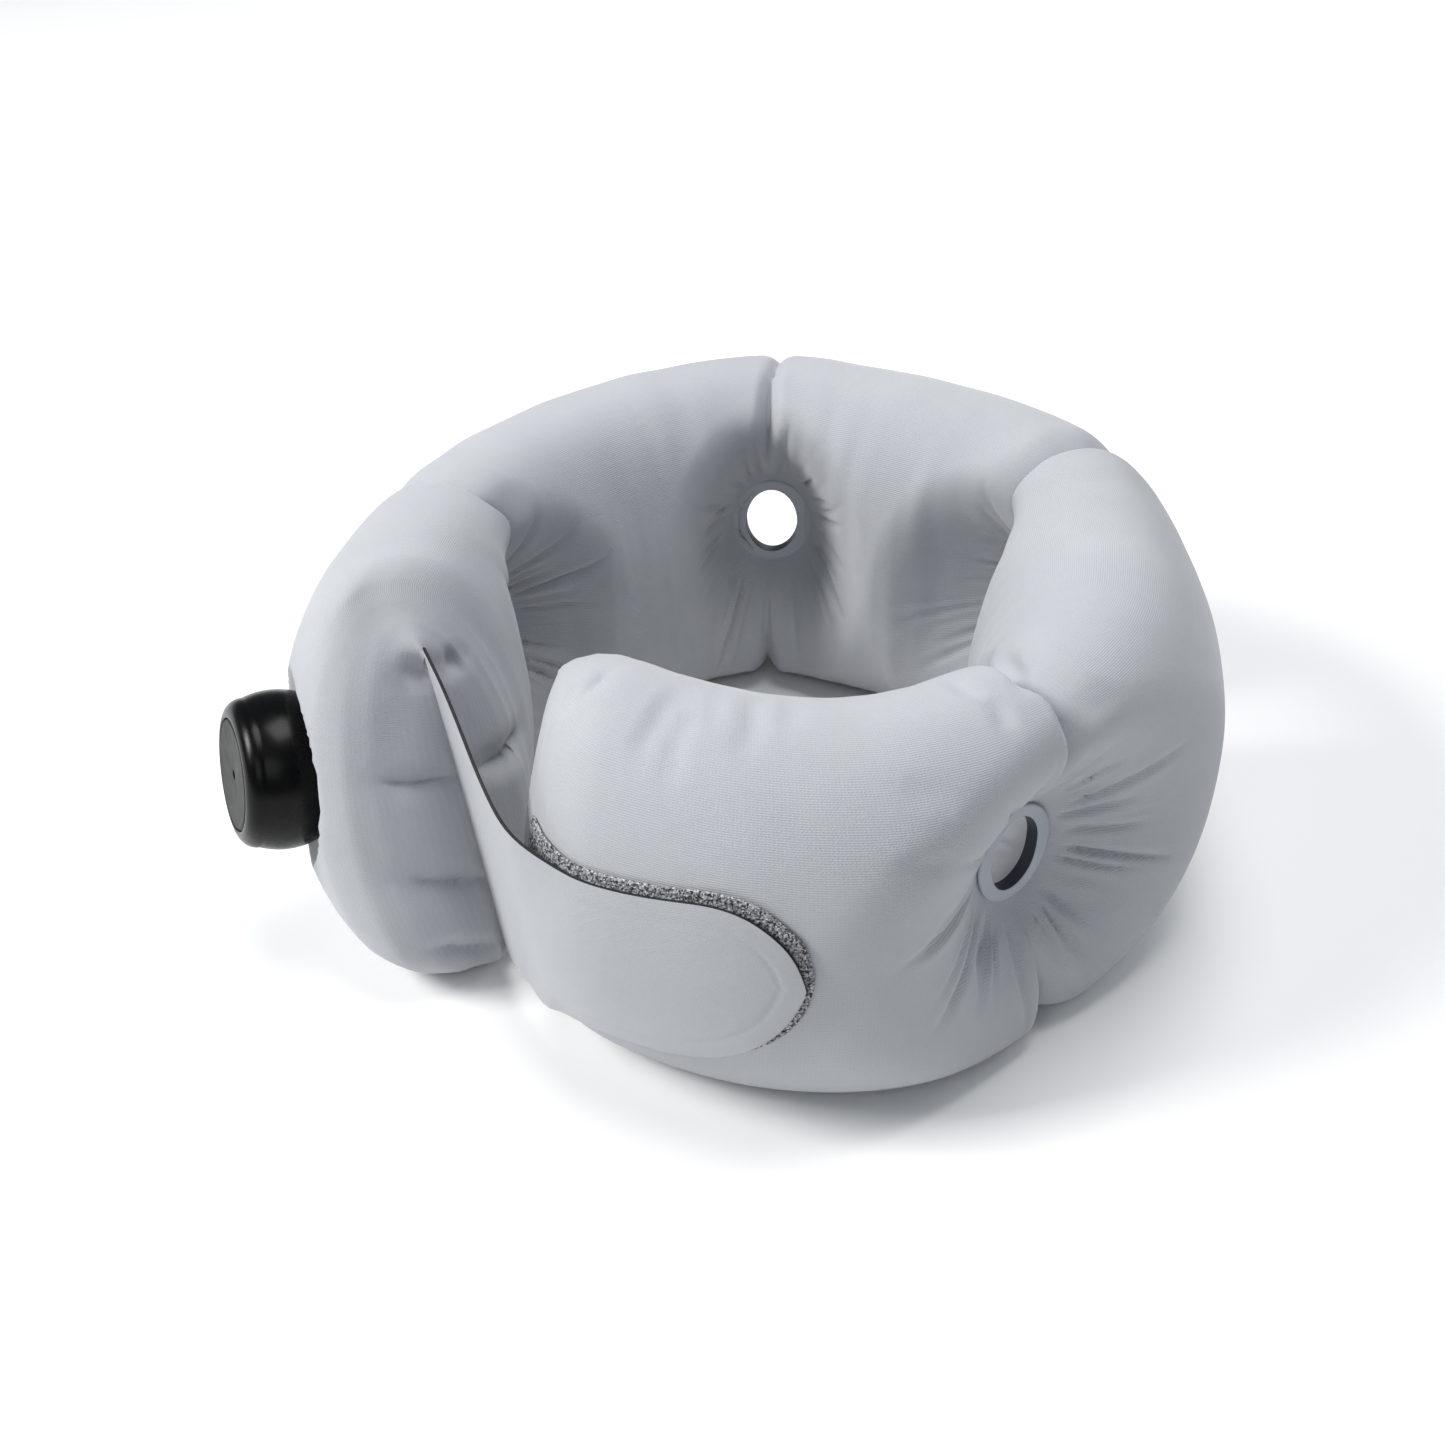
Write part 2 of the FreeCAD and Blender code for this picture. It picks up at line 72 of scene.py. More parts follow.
# creases and soft wrinkles: middle points on the skin, half width, depth, shape
GROOVES = [
    ([(-107.2, -71.0, 73.5), (-102.5, -67.1, 69.4), (-97.4, -61.6, 65.9), (-92.5, -57.6, 64.0), (-87.7, -55.2, 64.7)], 8.0, 4.6, "fold"),  # L mid left
    ([(-81.9, -50.7, 63.1), (-78.4, -46.4, 62.9), (-75.1, -44.1, 63.3), (-73.0, -40.6, 65.3), (-71.5, -34.3, 65.6)], 9.0, 6.0, "fold"),  # L right deep
    ([(-101.9, -79.8, 45.0), (-96.2, -75.6, 39.9), (-88.7, -67.6, 33.7), (-82.9, -64.2, 31.8), (-79.3, -62.4, 31.5)], 8.0, 4.6, "fold"),  # L low
    ([(-98.1, -84.7, 22.2), (-91.1, -78.6, 17.1), (-83.5, -72.3, 11.6), (-77.4, -70.1, 12.0)], 7.0, 4.0, "fold"),  # L bottom corner
    ([(-102.3, -51.2, 95.8), (-100.1, -46.7, 94.5), (-93.6, -45.8, 94.4)], 7.0, 3.4, "soft"),  # L top left dip
    ([(-90.8, -42.4, 94.8), (-89.0, -39.2, 93.5), (-86.7, -38.7, 94.7)], 6.0, 3.0, "soft"),  # L top right dip
    ([(-39.2, -84.4, 120.1), (-41.9, -86.7, 118.7), (-45.9, -92.2, 117.5)], 5.5, 2.6, "fold"),  # F corner
    ([(-49.2, -85.3, 116.4), (-50.7, -89.9, 113.8), (-52.9, -93.2, 110.7)], 4.0, 0.9, "soft"),  # F corner 2
    ([(-20.0, -93.7, 120.5), (-23.5, -101.3, 119.3), (-26.6, -107.3, 117.2), (-29.3, -111.1, 114.8), (-30.3, -114.7, 112.7)], 6.0, 1.6, "soft"),  # F w1
    ([(-16.9, -97.5, 120.5), (-18.5, -106.9, 118.8), (-21.8, -113.5, 115.4), (-22.7, -117.9, 112.4), (-23.5, -121.3, 109.7)], 5.0, 1.4, "soft"),  # F w2
    ([(0.4, -94.9, 118.6), (-1.5, -103.0, 119.5), (-1.6, -110.4, 119.1), (-4.1, -119.3, 116.8)], 5.0, 1.3, "soft"),  # F w3
    ([(-11.0, -96.6, 120.5), (-11.8, -104.2, 120.4), (-12.7, -111.8, 119.4)], 4.0, 0.8, "soft"),  # F w4
    ([(7.8, -94.2, 117.8), (8.6, -103.7, 119.8), (7.2, -113.2, 119.8)], 5.0, 0.7, "soft"),  # F w5
    ([(51.2, -86.5, 118.6), (54.1, -93.7, 119.4), (56.8, -98.4, 120.2)], 5.0, 1.5, "soft"),  # F right lobe
    ([(59.0, -99.6, 120.4), (62.2, -102.5, 118.9), (64.4, -108.8, 117.6)], 5.0, 1.3, "soft"),  # F right lobe2
    ([(68.4, -61.1, 110.0), (70.7, -69.2, 110.7), (69.4, -93.6, 120.1)], 5.0, 1.8, "soft"),  # R inner
    ([(83.2, -80.7, 44.4), (90.9, -80.8, 37.7), (100.3, -80.8, 32.2)], 6.0, 1.2, "soft"),  # R radial1
    ([(80.6, -81.0, 74.6), (89.8, -78.6, 75.9), (98.7, -79.3, 83.2)], 7.0, 1.0, "soft"),  # R radial2
    ([(82.0, -88.0, 34.0), (89.3, -89.5, 26.4), (96.7, -88.8, 19.1)], 6.0, 1.2, "soft"),  # R radial3
    ([(50.1, -131.9, 92.9), (41.7, -136.0, 93.9), (34.6, -138.8, 95.0)], 6.0, 1.0, "soft"),  # F radial1
    ([(57.1, -112.8, 65.6), (49.0, -127.1, 67.8), (43.5, -132.5, 63.4)], 6.0, 1.2, "soft"),  # F radial2
    ([(66.8, -95.1, 43.1), (64.0, -103.1, 39.3), (60.9, -114.2, 37.7)], 6.0, 1.3, "soft"),  # F radial3
    ([(50.4, -128.6, 106.7), (43.5, -126.9, 110.5), (35.9, -126.3, 113.1)], 7.0, 0.9, "soft"),  # F radial4
]
SKIN_LIGHT, SKIN_DARK = (0.425, 0.437, 0.462), (0.39, 0.402, 0.428)
STRAP_LIGHT, STRAP_DARK = (0.40, 0.412, 0.437), (0.37, 0.382, 0.407)
RIM_LIGHT, RIM_DARK = (0.42, 0.44, 0.48), (0.36, 0.38, 0.42)
FLOOR_A, FLOOR_B = (0.93, 0.93, 0.93), (0.95, 0.95, 0.95)
WORLD_RGB, WORLD_STRENGTH = (0.72, 0.86, 1.0), 0.16
LIGHTS = [
    ("key", (-1.35, -0.30, 1.15), (0, 0, 0.06), (0.6, 0.6), 30.0, (1, 0.995, 0.98)),
    ("front", (-0.2, -1.5, 1.2), (0, 0, 0.06), (1.0, 0.8), 3.6, (1, 0.995, 0.99)),
    ("top", (0.1, 0.1, 1.6), (0, 0, 0.06), (0.8, 0.8), 14.0, (1, 0.995, 0.99)),
    ("right", (1.4, 0.5, 1.0), (0, 0, 0.06), (0.7, 0.7), 4.0, (1, 1, 1)),
    ("back", (0.5, 1.7, 0.8), (0, 0, 0.04), (1.0, 0.8), 10.0, (1, 1, 1)),
]
# ------------------------------------------------------------------ the ring
OX, OY = 9.07, 5.93          # ring centre in the row frame, mm
RING = 107.0
MID_Z = 60.0
SEAMS = {"a": 165.0, "b": 85.5, "c": 25.0, "d": -50.0}
END1, END2 = 214.6, -134.0
END1_TOP, END1_BOT = np.array([-96.0, -45.5, 104.0]), np.array([-75.8, -72.5, 5.0])
END2_TOP, END2_BOT = np.array([-55.5, -63.5, 107.0]), np.array([-58.5, -70.5, 7.0])
PATH = [(-134.0, 94.0), (-120.0, 94.5), (-105.0, 99.0), (-90.0, 105.5), (-70.0, 112.0), (-50.0, 112.0), (-30.0, 110.5),
        (-10.0, 107.0), (5.0, 106.5), (25.0, 112.5), (40.0, 111.0), (55.0, 107.5), (70.0, 106.5), (85.5, 108.5),
        (105.0, 101.0), (125.0, 96.5), (145.0, 95.5), (165.0, 98.5), (180.0, 102.5), (195.0, 110.0), (205.0, 113.5), (214.6, 107.0)]
GIRTH = [(-134.0, 0.97), (-105.0, 0.97), (-70.0, 1.0), (0.0, 0.98), (60.0, 1.0), (85.5, 1.0), (105.0, 0.96), (125.0, 0.94),
         (150.0, 0.93), (170.0, 0.95), (190.0, 1.0), (214.6, 1.0)]


def table(tab, x):
    return np.interp(x, [t[0] for t in tab], [t[1] for t in tab])


def sstep(x):
    x = np.clip(x, 0.0, 1.0)
    return x * x * (3 - 2 * x)


def path_r(ang):
    """Radius of the tube's middle line, by cubic interpolation of PATH."""
    X = np.array([p[0] for p in PATH])
    Y = np.array([p[1] for p in PATH])
    m = np.empty_like(Y)
    m[1:-1] = (Y[2:] - Y[:-2]) / (X[2:] - X[:-2])
    m[0], m[-1] = (Y[1] - Y[0]) / (X[1] - X[0]), (Y[-1] - Y[-2]) / (X[-1] - X[-2])
    x = np.clip(ang, X[0], X[-1])
    i = np.clip(np.searchsorted(X, x, side="right") - 1, 0, len(X) - 2)
    h = X[i + 1] - X[i]
    t = (x - X[i]) / h
    return ((2 * t ** 3 - 3 * t ** 2 + 1) * Y[i] + (t ** 3 - 2 * t ** 2 + t) * h * m[i]
            + (-2 * t ** 3 + 3 * t ** 2) * Y[i + 1] + (t ** 3 - t ** 2) * h * m[i + 1])


def unit_rows(v):
    return v / np.maximum(np.linalg.norm(v, axis=-1, keepdims=True), 1e-12)


def ring_point(ang, r=None, z=MID_Z):
    a = np.radians(ang)
    r = path_r(np.asarray(ang, float)) if r is None else r
    return np.stack([r * np.cos(a), r * np.sin(a), np.full_like(np.asarray(a, float), z)], -1)


NI = 288                     # points round the tube
T_END = [(0, 1.0), (1.5, 4.5), (4, 11.0), (8, 18.5), (13, 25.0), (20, 30.5), (30, 34.8), (44, 37.4), (60, 38.5), (80, 39.0)]
T_END_1 = [(0, 1.0), (1.5, 6.0), (4, 14.0), (8, 22.5), (13, 29.0), (20, 33.8), (30, 37.0), (44, 38.6), (60, 39.0)]
H_END = [(0, 49.5), (3, 52.5), (8, 55.6), (16, 58.6), (26, 60.2), (40, 61.0)]


def columns():
    """Angles of the sections, from the free end by the strap round to the pump's end, close together at the folds."""
    pos = []
    a = END2
    stops = sorted([END2, END1] + list(SEAMS.values()))
    while a < END1 - 1e-9:
        d = min(abs(a - s) for s in stops) * RING * np.pi / 180
        step = 0.8 + 0.35 * sstep(np.array((d - 4.0) / 14.0)) + 0.95 * sstep(np.array((d - 48.0) / 14.0))
        pos.append(a)
        a += float(step) / RING * 180 / np.pi
    pos.append(END1)
    pos = np.array(pos)
    # put a column on every fold
    for s in SEAMS.values():
        k = np.argmin(abs(pos - s))
        pos[k] = s
    if pos[-1] - pos[-2] < 0.25:
        pos = np.delete(pos, -2)
    return pos


def superellipse(a_out, a_in, b_top, b_bot, n):
    """NI points round a section, evenly spaced along it, from the bottom, outward side first."""
    t = np.linspace(0, 2 * np.pi, 721) - np.pi / 2
    c, s = np.cos(t), np.sin(t)
    x = np.where(c >= 0, a_out, a_in) * np.sign(c) * abs(c) ** (2 / n)
    y = np.where(s >= 0, b_top, b_bot) * np.sign(s) * abs(s) ** (2 / n)
    d = np.concatenate([[0], np.cumsum(np.hypot(np.diff(x), np.diff(y)))])
    half = np.searchsorted(t, np.pi / 2 - 1e-9)
    # the same number of points on the outer and on the inner wall
    u1 = np.interp(np.linspace(0, d[half], NI // 2 + 1), d, np.arange(len(d)))
    u2 = np.interp(np.linspace(d[half], d[-1], NI // 2 + 1), d, np.arange(len(d)))[1:-1]
    u = np.concatenate([u1, u2])
    return np.interp(u, np.arange(len(d)), x), np.interp(u, np.arange(len(d)), y), d[-1]


def base_tube():
    """The smooth inflated tube: positions (NJ, NI, 3), section coordinates x, y, and s, the distance along the ring from
    each fold; all in mm in the ring's frame."""
    ang = columns()
    NJ = len(ang)
    X, Y = np.zeros((NJ, NI)), np.zeros((NJ, NI))
    s1 = (END1 - ang) * RING * np.pi / 180
    s2 = (ang - END2) * RING * np.pi / 180
    a = np.minimum(table(T_END_1, s1), table(T_END, s2))
    a = np.where(a > 5, a * table(GIRTH, ang), a)
    b = np.minimum(table(H_END, s1), table(H_END, s2))
    per = np.zeros(NJ)
    for j in range(NJ):
        X[j], Y[j], per[j] = superellipse(a[j], a[j], b[j], b[j], 2.15)
    C = ring_point(ang)
    out = unit_rows(C * np.array([1, 1, 0.0]))
    along = np.stack([-out[:, 1], out[:, 0], 0 * out[:, 0]], -1)
    up = np.tile([0.0, 0.0, 1.0], (NJ, 1))
    for ends, s, e in (((END1_TOP, END1_BOT), s1, END1), ((END2_TOP, END2_BOT), s2, END2)):
        k = (1 - sstep(s / 46.0))[:, None]
        mid = (ends[0] + ends[1]) / 2
        u1 = unit_rows(ends[0] - ends[1])
        c0 = ring_point(np.array(e))
        C = C + (mid - c0) * k
        up = unit_rows(up * (1 - k) + u1 * k)
        out = unit_rows(out - up * (out * up).sum(-1, keepdims=True))
    # the walls swell past the welded ends
    g1, g2 = 1 - sstep(s1 / FAN1_LEN), 1 - sstep(s2 / FAN2_LEN)
    low = 0.78 + 0.22 * sstep((-Y - 8.0) / 34.0)
    bend = np.sqrt(X * X + 49.0) - 7.0
    side = sstep((X + 9.0) / 18.0)
    fan = bend * ((FAN1_OUT * side + FAN1_IN * (1 - side)) * g1[:, None] * low - (FAN2_OUT * side + FAN2_IN * (1 - side)) * g2[:, None])
    return dict(ang=ang, X=X, Y=Y, C=C, out=out, up=up, along=along, fan=fan, per=per, s1=s1, s2=s2, a=a, b=b)


FAN1_OUT, FAN1_IN, FAN1_LEN = 1.22, 0.42, 62.0
FAN2_OUT, FAN2_IN, FAN2_LEN = 0.02, 0.10, 50.0


def place(g, X=None, Y=None):
    X = g["X"] if X is None else X
    Y = g["Y"] if Y is None else Y
    return (g["C"][:, None] + g["out"][:, None] * X[..., None] + g["up"][:, None] * Y[..., None]
            + g["along"][:, None] * g["fan"][..., None])


def grid_normals(P):
    dj = np.gradient(P, axis=0)
    di = np.roll(P, -1, 1) - np.roll(P, 1, 1)
    return unit_rows(np.cross(dj, di))

# ------------------------------------------------------------------ details of the inflated skin
EYE_FLAT = 15.2              # the walls are welded flat up to here round each eyelet
EYE_HOLE = 12.6              # the film is cut out up to here, under the rim
EYE_SX, EYE_SZ = 1.07, 0.94  # the eyelets are taller than wide
# per fold: depth of the crease on the inner side, the crest, the outer side and the bottom; its half width; funnel slope outside, inside
FOLDS = {
    "a": dict(inn=18.0, top=7.0, out=6.0, bot=5.0, w=12.0, hi=0.6, lo=1.5, slope_o=1.9, slope_i=1.05),
    "b": dict(inn=18.0, top=4.0, out=3.0, bot=5.0, w=9.0, hi=0.9, lo=0.9, slope_o=1.4, slope_i=1.05),
    "c": dict(inn=18.0, top=6.5, out=4.0, bot=5.0, w=11.0, hi=1.5, lo=0.6, slope_o=1.6, slope_i=1.05),
    "d": dict(inn=20.0, top=19.0, out=11.5, bot=12.0, w=15.0, hi=1.6, lo=0.5, slope_o=0.85, slope_i=1.05),
}


def smin(a, b, k):
    h = np.clip(0.5 + 0.5 * (b - a) / k, 0, 1)
    return b + (a - b) * h - k * h * (1 - h)


def value_noise(x, seed, period=None):
    """Smooth 1-D noise in -1..1 at x (one bump per unit)."""
    r = np.random.RandomState(seed)
    n = 4096
    v = r.uniform(-1, 1, n)
    if period:
        v[period:] = np.resize(v[:period], n - period)
    xi = np.floor(x).astype(int)
    t = x - xi
    t = t * t * (3 - 2 * t)
    return v[xi % n] * (1 - t) + v[(xi + 1) % n] * t


def noise2(x, y, seed):
    """Smooth 2-D noise in -1..1."""
    r = np.random.RandomState(seed)
    v = r.uniform(-1, 1, (256, 256))
    xi, yi = np.floor(x).astype(int), np.floor(y).astype(int)
    a, b = x - xi, y - yi
    a, b = a * a * (3 - 2 * a), b * b * (3 - 2 * b)
    f = lambda p, q: v[(xi + p) % 256, (yi + q) % 256]
    return (f(0, 0) * (1 - a) + f(1, 0) * a) * (1 - b) + (f(0, 1) * (1 - a) + f(1, 1) * a) * b


def polyline_distance(P, line):
    """Distance of each point to a polyline, and how far along it the nearest place is (0..1)."""
    line = np.asarray(line, float)
    best = np.full(P.shape[:-1], 1e9)
    where = np.zeros(P.shape[:-1])
    seg = np.linalg.norm(np.diff(line, axis=0), axis=1)
    total, done = seg.sum(), 0.0
    for a, b, L in zip(line[:-1], line[1:], seg):
        d = b - a
        t = np.clip(((P - a) @ d) / max(L * L, 1e-9), 0, 1)
        q = np.linalg.norm(P - (a + t[..., None] * d), axis=-1)
        m = q < best
        best = np.where(m, q, best)
        where = np.where(m, (done + t * L) / total, where)
        done += L
    return best, where


def detailed(g, extra_grooves=(), seed=5):
    """The tube with its eyelet dimples, creases and wrinkles."""
    X, Y = g["X"].copy(), g["Y"].copy()
    ang = g["ang"]
    NJ = len(ang)
    a, b = g["a"][:, None], g["b"][:, None]
    nx, ny = X / a, Y / b
    w_in = np.clip(-nx, 0, 1) ** 2
    w_out = np.clip(nx, 0, 1) ** 2
    w_top = np.clip(ny, 0, 1) ** 2
    w_bot = np.clip(-ny, 0, 1) ** 2
    dn = np.stack([nx / a, ny / b], -1)
    dn = dn / np.maximum(np.linalg.norm(dn, axis=-1, keepdims=True), 1e-9)
    rad = path_r(ang)
    X0, Y0 = X.copy(), Y.copy()
    rho_all = {}
    # creases: the walls of two neighbouring chambers press together
    for k, (name, s0) in enumerate(SEAMS.items()):
        F = FOLDS[name]
        s = np.radians(ang - s0) * rad
        wob = 1.6 * value_noise(np.arange(NI) * 24.0 / NI, seed + 31 * k)
        sj = s[:, None] + wob[None, :] * (w_in + w_top)
        D = F["inn"] * w_in + F["top"] * w_top + F["out"] * w_out + F["bot"] * w_bot
        D = D / np.maximum(w_in + w_top + w_out + w_bot, 0.6)
        R = F["w"] * (0.75 + 0.45 * w_in + 0.1 * w_out)
        R = R * (1 + 0.18 * value_noise(np.arange(NI) * 30.0 / NI, seed + 77 * k + 3)[None, :])
        # one lobe rounds over more than the other where they overlap at the crest
        crest = np.clip(w_top * 1.6 + (w_out * 0.9 + w_bot if name == "d" else 0), 0, 1)
        R = R * (1 + (np.where(sj > 0, F["hi"], F["lo"]) - 1) * crest)
        u = np.clip(1 - np.abs(sj) / R, 0, 1)
        cusp = 1 - np.sqrt(np.clip(1 - u ** 2, 0, 1))
        soft = u * u * (3 - 2 * u) * 0.5 + u ** 2 * 0.5
        prof = cusp * 0.78 + soft * 0.22
        rho = np.hypot(s[:, None] * EYE_SX, Y0 * EYE_SZ)
        rho_all[name] = rho
        near = sstep((rho - 15.0) / 16.0)
        inset = D * prof * near
        X -= dn[..., 0] * inset
        Y -= dn[..., 1] * inset
    # dimples: the walls come together at each eyelet
    for k, (name, s0) in enumerate(SEAMS.items()):
        F = FOLDS[name]
        rho = rho_all[name]
        rp = np.clip(rho - EYE_FLAT, 0, None)
        phi = np.arctan2(Y0, np.broadcast_to((np.radians(ang - s0) * rad)[:, None], Y0.shape))
        side = X0 > 0
        slope = np.where(side, F["slope_o"], F["slope_i"])
        # the funnel is steeper up and down, along the crease, and gentler towards the chambers
        slope = slope * (1 + 0.12 * np.cos(2 * phi))
        tgt = 1.25 + rp * slope + 0.0016 * rp ** 2
        absx = np.abs(X)
        new = smin(absx, tgt, 20.0)
        new = np.maximum(np.where(rho < EYE_FLAT + 1.0, np.minimum(tgt, absx), new), np.minimum(absx, 1.25))
        new = np.where(rho < 75, new, absx)
        # radial pleats in the funnel
        r = np.random.RandomState(seed + 100 + k)
        pleat = np.zeros_like(new)
        for which in (0, 1):
            m = 38
            centres = np.linspace(-np.pi, np.pi, m, endpoint=False) + r.uniform(-0.055, 0.055, m)
            for c in centres:
                wdt = r.uniform(0.032, 0.066)
                dep = PLEAT * r.uniform(0.15, 1.0) ** 1.4 * (0.45 + 0.55 * abs(np.cos(c)) + 0.25 * max(0.0, -np.sin(c)))
                start, end = r.uniform(0, 5), r.uniform(15, 42)
                bend = r.uniform(-1, 1) * 0.004
                d = np.angle(np.exp(1j * (phi - c - bend * rp)))
                fade = sstep((rp - start) / 7.0) * (1 - sstep((rp - end * 0.45) / (end * 0.55)))
                gr = (-dep * np.exp(-(np.abs(d) / wdt) ** 1.3) + 0.45 * dep * np.exp(-(d / (2.2 * wdt)) ** 2)) * fade
                pleat += np.where(side == bool(which), gr, 0)
        new = new + pleat * sstep((rho - EYE_FLAT) / 3.0)
        X = np.where(X >= 0, new, -new)
        X = np.where(np.abs(X0) < 1e-9, 0, X)
    P = place(g, X, Y)
    N = -grid_normals(P)
    c = P.mean(1, keepdims=True)
    if (((P - c) * N).sum(-1) > 0).mean() < 0.5:
        N = -N
    # slack of the fabric: long soft ripples on the inner wall and fine irregularity everywhere
    S = np.radians(ang)[:, None] * RING + 0 * Y0
    H = Y0 + 0 * X0
    away = np.ones_like(H)
    for name in SEAMS:
        away = away * sstep((rho_all[name] - 20) / 18.0)
    ripple = 0.55 * noise2(S / 7.0 + 40, H / 42.0 + 9, seed + 1) * w_in + 0.30 * noise2(S / 11.0 + 3, H / 30.0 + 5, seed + 2) * (w_top + 0.4 * w_out)
    slow = 0.8 * noise2(S / 38.0 + 7, H / 34.0 + 50, seed + 3)
    ends = sstep(np.minimum(g["s1"], g["s2"]) / 8.0)[:, None]
    P = P + N * ((ripple + slow) * away * ends)[..., None]
    for line, width, depth, shape in extra_grooves:
        # the line is laid on the skin
        line = np.asarray(line, float)
        for _ in range(2):
            for k, q in enumerate(line):
                near = np.unravel_index(np.argmin(((P - q) ** 2).sum(-1)), P.shape[:2])
                line[k] = q + N[near] * ((P[near] - q) @ N[near])
        d, t = polyline_distance(P, line)
        taper = np.sin(np.pi * np.clip(t * 0.94 + 0.03, 0, 1)) ** 0.6
        u = np.clip(1 - d / width, 0, 1)
        prof = 0.45 * (1 - np.sqrt(np.clip(1 - u ** 2, 0, 1))) + 0.55 * u ** 2 if shape == "fold" else u * u * (3 - 2 * u)
        P = P - N * (depth * prof * taper)[..., None]
    return P

# ------------------------------------------------------------------ pump frame
PUMP_BASE = np.array([-133.0, -44.7, 60.0])
_az, _el = math.radians(204.0), math.radians(8.0)
AX = np.array([math.cos(_az) * math.cos(_el), math.sin(_az) * math.cos(_el), math.sin(_el)])
AU = unit_rows(np.cross(AX, np.array([0.0, 0.0, 1.0])))
AV = np.cross(AX, AU)
KNOB_HOLE = 18.2


def to_row(P):
    """Ring frame in mm to the row frame in metres."""
    return (np.asarray(P, float) + np.array([OX, OY, 0.0])) / 1000.0


def seat_skin(P, ang):
    """Round the knob the skin lies flat on the welded seat."""
    rel = P - PUMP_BASE
    t = rel @ AX
    flat = rel - t[..., None] * AX
    rk = np.linalg.norm(flat, axis=-1)
    near = (t > -45) & (rk < 60) & (ang > 180)[:, None]
    w = (1 - sstep((rk - 21.4) / 4.6)) * near * sstep((t + 17.0) / 9.0)
    t_new = t * (1 - w) + -0.85 * w
    # it never lies under the seat, and hugs the foot of the knob
    t_new = np.where(near & (rk < 28.5) & (t > -8), np.maximum(t_new, -0.85), t_new)
    cap = np.interp(rk, [0, 21.4, 23.4, 26.0, 29.0, 33.0, 60], [-0.85, -0.85, -0.2, 1.3, 3.6, 8.0, 60])
    t_new = np.where(near & (t > -17), np.minimum(t_new, cap), t_new)
    P = PUMP_BASE + flat + t_new[..., None] * AX
    return P, rk, near


# ------------------------------------------------------------------ meshes
def new_object(name, verts, faces, smooth=True):
    me = bpy.data.meshes.new(name)
    me.from_pydata([tuple(v) for v in verts], [], [tuple(int(k) for k in f) for f in faces])
    me.validate()
    me.update()
    if smooth:
        me.polygons.foreach_set("use_smooth", [True] * len(me.polygons))
    ob = bpy.data.objects.new(name, me)
    bpy.context.scene.collection.objects.link(ob)
    return ob


g = base_tube()
P = detailed(g, GROOVES)
P, RK, NEARK = seat_skin(P, g["ang"])
P[..., 2] = np.where(P[..., 2] < 3.0, 0.4 + np.logaddexp(0, (P[..., 2] - 0.4) / 0.9) * 0.9, P[..., 2])
VN = grid_normals(P)
ANG = g["ang"]
NJ = len(ANG)
PER = 0.322
RHO = {k: np.hypot((np.radians(ANG - s0) * path_r(ANG))[:, None] * EYE_SX, g["Y"] * EYE_SZ) for k, s0 in SEAMS.items()}


